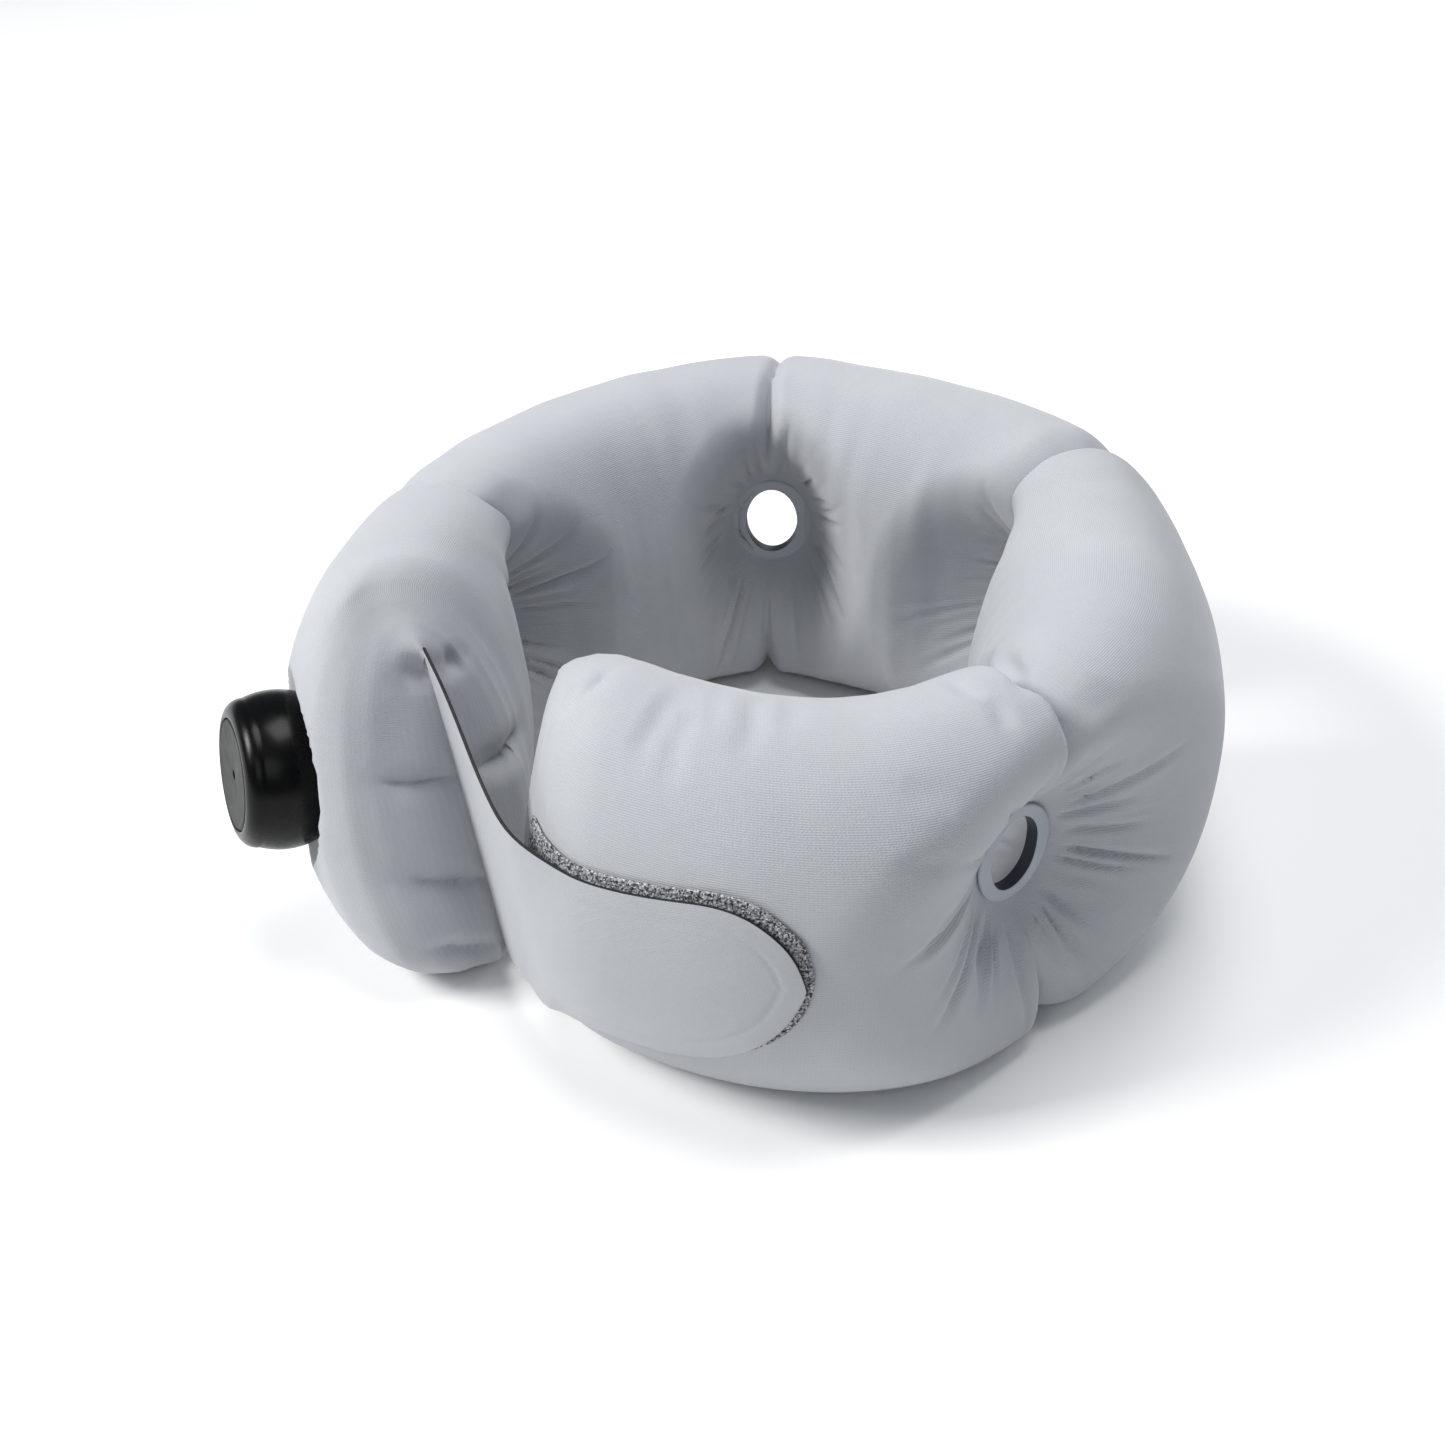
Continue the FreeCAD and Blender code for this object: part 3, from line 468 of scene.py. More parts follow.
def skin_piece(name, ang0, ang1, seam, knob=False):
    j0, j1 = int(np.argmin(abs(ANG - ang0))), int(np.argmin(abs(ANG - ang1)))
    nj = j1 - j0 + 1
    Q = P[j0:j1 + 1].copy()
    rho = RHO[seam][j0:j1 + 1]
    half = NI // 2
    J, I = np.meshgrid(np.arange(nj - 1), np.arange(NI), indexing="ij")
    J, I = J.ravel(), I.ravel()
    I2 = (I + 1) % NI
    # eyelet hole: chosen on the outer wall, mirrored on the inner one
    mirror = (NI - np.arange(NI)) % NI
    cen = np.empty((nj - 1, NI), bool)
    Xo = g["X"][j0:j1 + 1]
    r4 = np.maximum.reduce([rho[:-1], rho[1:], np.roll(rho, -1, 1)[:-1], np.roll(rho, -1, 1)[1:]])
    cen = r4 < EYE_HOLE + 0.9
    keep = ~cen[J, I]
    if knob:
        rk = RK[j0:j1 + 1]
        ok = NEARK[j0:j1 + 1]
        rmax = np.maximum.reduce([rk[:-1], rk[1:], np.roll(rk, -1, 1)[:-1], np.roll(rk, -1, 1)[1:]])
        okq = ok[:-1] & (np.arange(NI) < half)[None, :] | (ok[:-1] & ok[1:])
        kn = (rmax < KNOB_HOLE + 0.9) & okq
        keep &= ~kn[J, I]
    idx = lambda j, i: j * NI + i
    quads = np.stack([idx(J, I), idx(J + 1, I), idx(J + 1, I2), idx(J, I2)], -1)[keep]
    uv = np.stack([np.stack([J, I], -1), np.stack([J + 1, I], -1), np.stack([J + 1, I + 1], -1), np.stack([J, I + 1], -1)], 1)[keep]
    # bridge the two walls round the eyelet
    bridge = []
    removed = cen
    for (j, i) in np.argwhere(removed):
        if i >= half:
            continue
        for (dj, di, va, vb) in ((-1, 0, (j, i + 1), (j, i)), (1, 0, (j + 1, i), (j + 1, i + 1)),
                                 (0, -1, (j, i), (j + 1, i)), (0, 1, (j + 1, i + 1), (j, i + 1))):
            jj, ii = j + dj, i + di
            if 0 <= jj < nj - 1 and removed[jj, ii % NI]:
                continue
            a, b = va, vb
            ma, mb = (a[0], mirror[a[1] % NI]), (b[0], mirror[b[1] % NI])
            bridge.append([idx(*a), idx(*b), idx(*mb), idx(*ma)])
    edge_out = {}
    faces = [tuple(q) for q in quads] + [tuple(b) for b in bridge]
    nq = len(quads)
    # end caps
    for jc, flip in ((0, False), (nj - 1, True)):
        for i in range(half):
            a, b, c, d = idx(jc, i), idx(jc, i + 1), idx(jc, mirror[i + 1]), idx(jc, mirror[i])
            f = [a, b, c, d]
            f = [v for k, v in enumerate(f) if v not in f[:k]]
            if len(f) > 2:
                faces.append(tuple(reversed(f)) if flip else tuple(f))
    V = Q.reshape(-1, 3)
    if knob:
        used = np.zeros(len(V), bool)
        used[np.unique(quads)] = True
        rkf, okf = rk.ravel(), (ok & (np.arange(NI) < half)[None, :]).ravel()
        gone = np.zeros(len(V), bool)
        kj, ki = np.argwhere(kn).T
        for dj in (0, 1):
            for di in (0, 1):
                gone[idx(kj + dj, (ki + di) % NI)] = True
        rim = gone & used
        rel = V[rim] - PUMP_BASE
        t = rel @ AX
        flat = rel - t[:, None] * AX
        V[rim] = PUMP_BASE + flat / np.linalg.norm(flat, axis=1, keepdims=True) * KNOB_HOLE + t[:, None] * AX
    # drop unused vertices
    used = np.zeros(len(V), bool)
    for f in faces:
        used[list(f)] = True
    remap = np.cumsum(used) - 1
    faces = [tuple(int(remap[v]) for v in f) for f in faces]
    Vr = to_row(V[used])
    ob = new_object(name, Vr, faces)
    me = ob.data
    uvl = me.uv_layers.new(name="weave")
    S = np.radians(ANG[j0:j1 + 1]) * RING / 1000.0
    arr = np.zeros((len(me.loops), 2), np.float32)
    li = 0
    flat_uv = np.stack([S[uv[..., 0]], uv[..., 1] / NI * PER], -1)
    arr[:nq * 4] = flat_uv.reshape(-1, 2)
    uvl.data.foreach_set("uv", arr.ravel())
    # the pieces meet without a line between them: at their ends they take the whole tube's normals
    Nn = np.zeros((nj, NI, 3))
    if abs(ang0 - END2) > 0.1:
        Nn[0] = VN[j0]
    if abs(ang1 - END1) > 0.1:
        Nn[-1] = VN[j1]
    me.normals_split_custom_set_from_vertices([tuple(n) for n in Nn.reshape(-1, 3)[used]])
    return ob


MIDS = [END2, -12.0, 55.0, 125.0, END1]
skins = {
    "d": skin_piece("skin_front", MIDS[0], MIDS[1], "d"),
    "c": skin_piece("skin_right", MIDS[1], MIDS[2], "c"),
    "b": skin_piece("skin_back", MIDS[2], MIDS[3], "b"),
    "a": skin_piece("skin_pump_side", MIDS[3], MIDS[4], "a", knob=True),
}

# one search tree of the skin from the free end to just short of fold d, in the ring's frame
_f = []
_J, _I = np.meshgrid(np.arange(NJ - 1), np.arange(NI), indexing="ij")
_q = np.stack([_J * NI + _I, (_J + 1) * NI + _I, (_J + 1) * NI + (_I + 1) % NI, _J * NI + (_I + 1) % NI], -1).reshape(-1, 4)
j_front = int(np.argmin(abs(ANG - (-52.0))))
_q = _q[_q.max(1) < j_front * NI]
TREE = BVHTree.FromPolygons([Vector(p) for p in P[:j_front + 1].reshape(-1, 3)], [tuple(int(v) for v in q) for q in _q])


def on_front(ang, z, off):
    """Point on the front chamber's outer face, and the outward normal there. The argument off is not used."""
    a = math.radians(ang)
    d = Vector((math.cos(a), math.sin(a), 0.0))
    hit, n, _, _ = TREE.ray_cast(Vector((0, 0, z)) + d * 220.0, -d)
    if hit is None:
        hit = Vector((0, 0, z)) + d * 130.0
        n = d
    if n.dot(d) < 0:
        n = -n
    return np.array(hit), np.array(n)


def grid_faces(n, m):
    return [(i * m + j, i * m + j + 1, (i + 1) * m + j + 1, (i + 1) * m + j) for i in range(n - 1) for j in range(m - 1)]


def shell_from(mid, half, name, emboss=None):
    """A thin sheet about a mid surface (n, m, 3): two faces and a rounded cut edge. Material 0 outside, 1 edge, 2 inside."""
    n, m = mid.shape[:2]
    du = np.gradient(mid, axis=0)
    dv = np.gradient(mid, axis=1)
    N = unit_rows(np.cross(dv, du))
    out = unit_rows(mid * np.array([1, 1, 0.0]))
    if (N * out).sum() < 0:
        N = -N
    o = (mid + N * half).reshape(-1, 3)
    i_ = (mid - N * half).reshape(-1, 3)
    loop = [(0, j) for j in range(m)] + [(i, m - 1) for i in range(1, n)] + [(n - 1, j) for j in range(m - 2, -1, -1)] + [(i, 0) for i in range(n - 2, 0, -1)]
    li = np.array([a * m + b for a, b in loop])
    cen = mid.reshape(-1, 3)[li]
    # outward direction in the sheet at the edge
    tang = np.roll(cen, -1, 0) - np.roll(cen, 1, 0)
    e = unit_rows(np.cross(tang, N.reshape(-1, 3)[li]))
    if emboss is not None:
        # a pressed line at an even distance inside the rounded end
        d, _ = polyline_distance(mid.reshape(-1, 3), cen[np.r_[0:len(cen), 0]])
        row = np.repeat(np.arange(n) / (n - 1.0), m)
        line = np.exp(-((d - emboss[0]) / emboss[1]) ** 2) * emboss[2] * sstep((row - 0.42) / 0.12)
        o = o - N.reshape(-1, 3) * line[:, None]
    probe = cen.mean(0)
    if ((cen - probe) * e).sum() < 0:
        e = -e
    ridge = cen + e * half * 0.75
    verts = np.concatenate([o, i_, ridge])
    faces, mats = [], []
    A, B, C_, D_ = o[0], o[1], o[m + 1], o[m]
    up = np.cross(B - A, D_ - A) @ N[0, 0] > 0
    for f in grid_faces(n, m):
        faces.append(f if up else tuple(reversed(f)))
        mats.append(0)
        f2 = tuple(v + n * m for v in f)
        faces.append(tuple(reversed(f2)) if up else f2)
        mats.append(2)
    L = len(li)
    for k in range(L):
        a, b = int(li[k]), int(li[(k + 1) % L])
        r0, r1 = 2 * n * m + k, 2 * n * m + (k + 1) % L
        q1, q2 = (a, r0, r1, b), (n * m + a, n * m + b, r1, r0)
        faces.append(q1 if not up else tuple(reversed(q1)))
        faces.append(q2 if not up else tuple(reversed(q2)))
        mats += [1, 1]
    ob = new_object(name, to_row(verts), faces)
    bm = bmesh.new()
    bm.from_mesh(ob.data)
    bmesh.ops.recalc_face_normals(bm, faces=bm.faces)
    bm.to_mesh(ob.data)
    bm.free()
    ob.data.polygons.foreach_set("material_index", mats)
    ob.data.polygons.foreach_set("use_smooth", [True] * len(mats))
    # creases between the faces and the cut edge stay sharp
    uvl = ob.data.uv_layers.new(name="weave")
    # u along the sheet, v across it, in metres
    ulen = np.concatenate([[0], np.cumsum(np.linalg.norm(np.diff(mid[:, m // 2], axis=0), axis=1))]) / 1000
    vlen = np.linspace(0, 1, m) * np.linalg.norm(mid[n // 3, -1] - mid[n // 3, 0]) / 1000
    cu = np.repeat(ulen, m)
    cv = np.tile(vlen, n)
    cu = np.concatenate([cu, cu, cu[li]])
    cv = np.concatenate([cv, cv, cv[li]])
    vi = np.zeros(len(ob.data.loops), np.int32)
    ob.data.loops.foreach_get("vertex_index", vi)
    uvl.data.foreach_set("uv", np.stack([cu[vi], cv[vi]], -1).astype(np.float32).ravel())
    sharp = [False] * len(ob.data.edges)
    mat_of = np.array(mats)
    seen = {}
    for p in ob.data.polygons:
        for k in p.edge_keys:
            seen.setdefault(k, set()).add(p.material_index)
    for e_ in ob.data.edges:
        k = tuple(sorted(e_.vertices))
        sharp[e_.index] = len(seen.get(k, ())) > 1
    ob.data.attributes.new("sharp_edge", "BOOLEAN", "EDGE").data.foreach_set("value", sharp)
    return ob


# ------------------------------------------------------------------ strap
TONGUE_TOP = [(246.75, 81.1), (251.4, 81.4), (257.95, 83.0), (264.2, 84.9), (266.4, 84.7), (269.3, 82.9), (272.1, 77.6), (273.8, 73.0), (274.64, 66.1), (274.87, 62.5)]
TONGUE_BOT = [(243.9, 26.1), (249.4, 28.0), (254.3, 29.5), (258.9, 30.0), (262.4, 31.2), (266.4, 34.3), (270.1, 40.6), (272.6, 47.2), (274.15, 54.7), (274.78, 61.4)]
BRIDGE = [((-95.5, -46.4, 102.8), (-76.8, -63.7, 8.0)), ((-91.9, -55.1, 102.0), (-75.3, -69.1, 9.5)),
          ((-88.9, -61.9, 101.0), (-73.4, -75.0, 11.0)), ((-82.3, -78.8, 98.0), (-70.9, -82.3, 13.5)),
          ((-76.6, -93.7, 94.5), (-67.6, -91.1, 17.0)), ((-70.8, -106.1, 90.0), (-64.2, -98.7, 20.0)),
          ((-66.6, -112.3, 86.8), (-61.6, -106.9, 22.5)), ((-60.5, -116.6, 83.6), (-57.1, -114.4, 24.5))]


def catmull(rows, n):
    """Rows of points (k, m, 3) resampled to n rows, evenly spaced along their mean length."""
    rows = np.asarray(rows, float)
    k = len(rows)
    seg = np.linalg.norm(np.diff(rows, axis=0), axis=-1).mean(-1)
    T = np.concatenate([[0], np.cumsum(np.maximum(seg, 1e-3))])
    x = np.linspace(0, T[-1], n)
    m = np.zeros_like(rows)
    m[1:-1] = (rows[2:] - rows[:-2]) / (T[2:] - T[:-2])[:, None, None]
    m[0] = (rows[1] - rows[0]) / (T[1] - T[0])
    m[-1] = (rows[-1] - rows[-2]) / (T[-1] - T[-2])
    i = np.clip(np.searchsorted(T, x, side="right") - 1, 0, k - 2)
    h = (T[i + 1] - T[i])[:, None, None]
    t = ((x - T[i]) / (T[i + 1] - T[i]))[:, None, None]
    return ((2 * t ** 3 - 3 * t ** 2 + 1) * rows[i] + (t ** 3 - 2 * t ** 2 + t) * h * m[i]
            + (-2 * t ** 3 + 3 * t ** 2) * rows[i + 1] + (t ** 3 - t ** 2) * h * m[i + 1])


COLS = 61


def tongue_rows(off, grow=0.0, cols=COLS, first=0, extra=()):
    rows = []
    for (at_, zt), (ab, zb) in list(extra) + list(zip(TONGUE_TOP, TONGUE_BOT))[first:]:
        a = at_ + grow * (0.75 if at_ > 260 else 0.0) * 0.39
        row = []
        for j in range(cols):
            k = j / (cols - 1)
            z = zt + grow + (zb - 0.3 * grow - zt - grow) * k
            h, n = on_front(a + (ab - at_) * k, z, off)
            row.append(h + n * off)
        rows.append(row)
    return np.array(rows)


def push_out(mid, lo, rows_from=0):
    """Keeps a sheet at least lo outside the skin."""
    out = mid.copy()
    n, m = mid.shape[:2]
    for i in range(rows_from, n):
        for j in range(m):
            p = Vector(out[i, j])
            hit, nn, _, d = TREE.find_nearest(p)
            if hit is None:
                continue
            radial = Vector((p.x, p.y, 0)).normalized()
            if nn.dot(radial) < 0:
                nn = -nn
            s = (p - hit).dot(nn)
            if s < lo and d < 25:
                out[i, j] = np.array(p + nn * (lo - s))
    return out


def smooth_rows(mid, times, fix_first=3):
    for _ in range(times):
        q = mid.copy()
        q[1:-1, 1:-1] = 0.5 * mid[1:-1, 1:-1] + 0.125 * (mid[2:, 1:-1] + mid[:-2, 1:-1] + mid[1:-1, 2:] + mid[1:-1, :-2])
        q[1:-1, 0] = 0.6 * mid[1:-1, 0] + 0.2 * (mid[2:, 0] + mid[:-2, 0])
        q[1:-1, -1] = 0.6 * mid[1:-1, -1] + 0.2 * (mid[2:, -1] + mid[:-2, -1])
        q[:fix_first] = mid[:fix_first]
        mid = q
    return mid


bridge_rows = np.array([[np.array(t) + (np.array(b) - np.array(t)) * (j / (COLS - 1)) for j in range(COLS)] for t, b in BRIDGE])
strap_ctrl = np.concatenate([bridge_rows, tongue_rows(STRAP_OFF)])
strap_mid = catmull(strap_ctrl, 170)
strap_mid = push_out(strap_mid, STRAP_OFF, 10)
strap_mid = smooth_rows(strap_mid, 60)
strap_mid = push_out(strap_mid, STRAP_OFF - 0.2, 10)
strap_mid = smooth_rows(strap_mid, 8)
strap = shell_from(strap_mid, STRAP_HALF, "strap", (6.2, 0.75, 0.20))

loop_mid = catmull(tongue_rows(LOOP_OFF, LOOP_GROW, extra=[((240.0, 83.0), (239.5, 27.0)), ((243.4, 82.0), (241.8, 26.5))]), 90)
loop = shell_from(smooth_rows(loop_mid, 4, 0), 0.5, "loop_pad")
hook_mid = catmull(tongue_rows(HOOK_OFF, -3.0), 54)
hook = shell_from(smooth_rows(hook_mid, 4, 0), 0.35, "hook_pad")


# ------------------------------------------------------------------ turned pieces
def revolve(name, profile, seg=160, c=PUMP_BASE, axis=AX, u=AU, v=AV, squash_u=1.0, closed=True):
    """Profile points (r, t) turned about an axis. A closed profile makes a solid of revolution."""
    pr = np.array(profile, float)
    n = len(pr)
    th = np.linspace(0, 2 * np.pi, seg, endpoint=False)
    dirs = np.cos(th)[:, None] * u * squash_u + np.sin(th)[:, None] * v
    verts = (c + pr[None, :, 0, None] * dirs[:, None] + pr[None, :, 1, None] * axis).reshape(-1, 3)
    faces = []
    last = n if closed else n - 1
    for k in range(seg):
        k2 = (k + 1) % seg
        for i in range(last):
            i2 = (i + 1) % n
            faces.append((k * n + i, k2 * n + i, k2 * n + i2, k * n + i2))
    ob = new_object(name, to_row(verts), faces)
    bm = bmesh.new()
    bm.from_mesh(ob.data)
    bmesh.ops.recalc_face_normals(bm, faces=bm.faces)
    bm.to_mesh(ob.data)
    bm.free()
    ob.data.polygons.foreach_set("use_smooth", [True] * len(ob.data.polygons))
    return ob


def curve_through(pts, n):
    """Points of a smooth open curve through pts (Catmull-Rom)."""
    p = np.array(pts, float)
    return catmull(p[:, None, :], n)[:, 0]


def arc3(a, b, c, n):
    """n points on the circle through a, b and c."""
    ax, ay, bx, by, cx, cy = *a, *b, *c
    d = 2 * (ax * (by - cy) + bx * (cy - ay) + cx * (ay - by))
    ux = ((ax * ax + ay * ay) * (by - cy) + (bx * bx + by * by) * (cy - ay) + (cx * cx + cy * cy) * (ay - by)) / d
    uy = ((ax * ax + ay * ay) * (cx - bx) + (bx * bx + by * by) * (ax - cx) + (cx * cx + cy * cy) * (bx - ax)) / d
    r = math.hypot(ax - ux, ay - uy)
    t0, t1, t2 = (math.atan2(y - uy, x - ux) for x, y in (a, b, c))
    while t1 - t0 > math.pi: t1 -= 2 * math.pi
    while t1 - t0 < -math.pi: t1 += 2 * math.pi
    while t2 - t1 > math.pi: t2 -= 2 * math.pi
    while t2 - t1 < -math.pi: t2 += 2 * math.pi
    th = np.linspace(t0, t2, n)
    return [(ux + r * math.cos(q), uy + r * math.sin(q)) for q in th]


bulb_profile = ([(20.75, -0.7), (21.2, -0.7), (21.55, -0.55), (21.8, -0.2), (21.95, 0.25)]
                + arc3((22.15, 1.0), (24.0, 9.5), (22.4, 18.5), 26)
                + arc3((22.4, 18.5), (21.0, 22.3), (17.6, 23.9), 16)[1:]
                + [(17.25, 23.85), (17.05, 23.6), (17.0, 23.2), (17.0, 20.9), (17.6, 20.3), (18.6, 20.0)]
                + arc3((18.6, 20.0), (20.6, 9.5), (19.3, 2.45), 14)[1:] + [(20.75, 2.4)])
bulb = revolve("pump_bulb_rubber", bulb_profile, 192)
foam = revolve("pump_foam", [(8.2, 3.0), (9.0, 2.8), (17.0, 2.8), (18.0, 3.2), (18.2, 6.0), (18.2, 16.5), (18.0, 19.0), (17.2, 19.4), (9.0, 19.4), (8.1, 19.0), (8.0, 17.0), (8.0, 5.0)], 96)


def rim_piece(key):
    """Welded eyelet, taller than wide: two flat flanges joined by a short tube, all edges rounded."""
    s0 = math.radians(SEAMS[key])
    c = ring_point(np.array(SEAMS[key]))
    out = np.array([math.cos(s0), math.sin(s0), 0.0])
    u = np.array([-out[1], out[0], 0.0])
    v = np.array([0.0, 0.0, 1.0])
    T = 2.25
    # k from 0 at the hole to 1 at the outer edge, and height
    prof = [(0.13 * (1 - math.cos(a)), T - 0.5 + 0.5 * math.sin(a)) for a in np.linspace(0, np.pi / 2, 6)]
    prof += [(0.35, T + 0.05), (0.62, T)]
    prof += [(0.82 + 0.18 * math.sin(a), T - 0.7 + 0.7 * math.cos(a)) for a in np.linspace(0, np.pi / 2 + 0.5, 8)]
    prof += [(0.72, 0.95)]
    prof += [(k, -t) for k, t in reversed(prof)]
    prof = np.array(prof)
    n, seg = len(prof), 128
    th = np.linspace(0, 2 * np.pi, seg, endpoint=False)
    r = np.random.RandomState(ord(key))
    wob = sum(r.uniform(-0.09, 0.09) * np.cos(m * th + r.uniform(0, 6.28)) for m in (2, 3, 5))
    ri = 1 / np.hypot(np.cos(th) / EYE_IN[0], np.sin(th) / EYE_IN[1]) + wob
    ro = 1 / np.hypot(np.cos(th) / EYE_OUT[0], np.sin(th) / EYE_OUT[1]) + wob
    rr = ri[:, None] + prof[None, :, 0] * (ro - ri)[:, None]
    d = np.cos(th)[:, None] * u + np.sin(th)[:, None] * v
    verts = (c + rr[..., None] * d[:, None] + prof[None, :, 1, None] * out).reshape(-1, 3)
    faces = [(k * n + i, ((k + 1) % seg) * n + i, ((k + 1) % seg) * n + (i + 1) % n, k * n + (i + 1) % n) for k in range(seg) for i in range(n)]
    ob = new_object("eyelet_rim_" + key, to_row(verts), faces)
    bm = bmesh.new()
    bm.from_mesh(ob.data)
    bmesh.ops.recalc_face_normals(bm, faces=bm.faces)
    bm.to_mesh(ob.data)
    bm.free()
    ob.data.polygons.foreach_set("use_smooth", [True] * len(ob.data.polygons))
    # the bore faces take material 1, a near-black bluish colour: painted shade inside the eyelet hole
    inner = [0] * len(ob.data.polygons)
    cc = Vector(to_row(c))
    for q in ob.data.polygons:
        rel = (q.center - cc) * 1000
        t = rel.dot(Vector(out))
        inner[q.index] = 1 if abs(t) < T - 0.25 and (rel - Vector(out) * t).length < 13.0 and q.normal.dot(rel - Vector(out) * t) < 0 else 0
    ob.data.polygons.foreach_set("material_index", inner)
    return ob, c, out


rims = {k: rim_piece(k) for k in SEAMS}

# ------------------------------------------------------------------ materials
def new_mat(name):
    m = bpy.data.materials.new(name)
    m.use_nodes = True
    nt = m.node_tree
    bsdf = nt.nodes["Principled BSDF"]
    return m, nt, bsdf


def node(nt, kind, **vals):
    n = nt.nodes.new(kind)
    for k, v in vals.items():
        if k.startswith("in_"):
            key = k[3:]
            n.inputs[int(key) if key.isdigit() else key.replace("_", " ")].default_value = v
        else:
            setattr(n, k, v)
    return n


def math_node(nt, op, a, b=None, clamp=False):
    n = nt.nodes.new("ShaderNodeMath")
    n.operation = op
    n.use_clamp = clamp
    for k, x in enumerate((a, b)):
        if x is None:
            continue
        if hasattr(x, "links"):
            nt.links.new(x, n.inputs[k])
        else:
            n.inputs[k].default_value = x
    return n.outputs[0]


def noise_node(nt, vec, scale, detail=2.0, rough=0.5):
    n = node(nt, "ShaderNodeTexNoise")
    n.inputs["Scale"].default_value = scale
    n.inputs["Detail"].default_value = detail
    n.inputs["Roughness"].default_value = rough
    nt.links.new(vec, n.inputs["Vector"])
    return n.outputs["Fac"]


def ramp_node(nt, fac, stops):
    n = node(nt, "ShaderNodeValToRGB")
    el = n.color_ramp.elements
    while len(el) < len(stops):
        el.new(0.5)
    for e, (p, c) in zip(el, stops):
        e.position = p
        e.color = (*c, 1.0) if len(c) == 3 else c
    nt.links.new(fac, n.inputs[0])
    return n.outputs[0]


def mix_rgb(nt, fac, a, b, mode="MIX"):
    n = node(nt, "ShaderNodeMix", data_type="RGBA", blend_type=mode)
    for sock, x in ((n.inputs[0], fac), (n.inputs[6], a), (n.inputs[7], b)):
        if hasattr(x, "links"):
            nt.links.new(x, sock)
        else:
            sock.default_value = x if not isinstance(x, tuple) or len(x) == 4 else (*x, 1.0)
    return n.outputs[2]


def bump_node(nt, height, strength, distance, chain=None):
    n = node(nt, "ShaderNodeBump")
    n.inputs["Strength"].default_value = strength
    n.inputs["Distance"].default_value = distance
    nt.links.new(height, n.inputs["Height"])
    if chain is not None:
        nt.links.new(chain, n.inputs["Normal"])
    return n.outputs["Normal"]


def fabric(name, light, dark, rib=0.00066, rib_bump=0.30, rough=0.78, sheen=0.22, contrast=0.16):
    """Thin polyester knit bonded to film: fine ribs along the tube, a faint cross weave, soft mottling."""
    m, nt, bsdf = new_mat(name)
    uv = node(nt, "ShaderNodeUVMap", uv_map="weave").outputs["UV"]
    obj = node(nt, "ShaderNodeTexCoord").outputs["Object"]
    sep = node(nt, "ShaderNodeSeparateXYZ")
    nt.links.new(uv, sep.inputs[0])
    wob = noise_node(nt, obj, 60.0, 1.0)
    v = math_node(nt, "ADD", sep.outputs["Y"], math_node(nt, "MULTIPLY", wob, 0.0009))
    ribs = math_node(nt, "SINE", math_node(nt, "MULTIPLY", v, 2 * math.pi / rib))
    ribs = math_node(nt, "MULTIPLY_ADD", ribs, 0.5)
    ribs.node.inputs[2].default_value = 0.5
    u = math_node(nt, "ADD", sep.outputs["X"], math_node(nt, "MULTIPLY", math_node(nt, "SINE", math_node(nt, "MULTIPLY", v, math.pi / rib)), rib * 0.25))
    cross = math_node(nt, "SINE", math_node(nt, "MULTIPLY", u, 2 * math.pi / (rib * 1.25)))
    cross = math_node(nt, "MULTIPLY_ADD", cross, 0.5)
    cross.node.inputs[2].default_value = 0.5
    weave = math_node(nt, "MULTIPLY_ADD", cross, 0.30)
    nt.links.new(ribs, weave.node.inputs[2])
    fine = noise_node(nt, obj, 1700.0, 2.0)
    big = noise_node(nt, obj, 22.0, 3.0, 0.55)
    tone = ramp_node(nt, big, [(0.30, dark), (0.70, light)])
    shade = math_node(nt, "MULTIPLY_ADD", weave, contrast)
    shade.node.inputs[2].default_value = 1.0 - contrast * 0.65
    shade = math_node(nt, "MULTIPLY", shade, math_node(nt, "MULTIPLY_ADD", fine, 0.16))
    shade.node.inputs[1].links[0].from_node.inputs[2].default_value = 0.92
    col = node(nt, "ShaderNodeVectorMath", operation="SCALE")
    nt.links.new(tone, col.inputs[0])
    nt.links.new(shade, col.inputs["Scale"])
    nt.links.new(col.outputs[0], bsdf.inputs["Base Color"])
    r = ramp_node(nt, fine, [(0.25, (rough - 0.08,) * 3), (0.75, (rough + 0.07,) * 3)])
    nt.links.new(r, bsdf.inputs["Roughness"])
    h = math_node(nt, "ADD", weave, math_node(nt, "MULTIPLY", fine, 0.8))
    n1 = bump_node(nt, h, rib_bump, 0.00022)
    crinkle = noise_node(nt, obj, 150.0, 3.0, 0.6)
    n2 = bump_node(nt, crinkle, 0.10, 0.0012, n1)
    nt.links.new(n2, bsdf.inputs["Normal"])
    bsdf.inputs["Sheen Weight"].default_value = sheen
    bsdf.inputs["Sheen Roughness"].default_value = 0.45
    bsdf.inputs["Specular IOR Level"].default_value = 0.32
    return m


def moulded(name, light, dark, rough=(0.38, 0.5), scale=260.0, bump=0.12, dist=0.0003, spec=0.5, fine=2400.0, coat=0.0):
    m, nt, bsdf = new_mat(name)
    obj = node(nt, "ShaderNodeTexCoord").outputs["Object"]
    n0 = noise_node(nt, obj, scale * 0.15, 3.0)
    n1 = noise_node(nt, obj, fine, 2.0)
    nt.links.new(ramp_node(nt, n0, [(0.3, dark), (0.7, light)]), bsdf.inputs["Base Color"])
    nt.links.new(ramp_node(nt, noise_node(nt, obj, scale, 3.0), [(0.3, (rough[0],) * 3), (0.7, (rough[1],) * 3)]), bsdf.inputs["Roughness"])
    nt.links.new(bump_node(nt, n1, bump, dist), bsdf.inputs["Normal"])
    bsdf.inputs["Specular IOR Level"].default_value = spec
    bsdf.inputs["Coat Weight"].default_value = coat
    bsdf.inputs["Coat Roughness"].default_value = 0.3
    return m


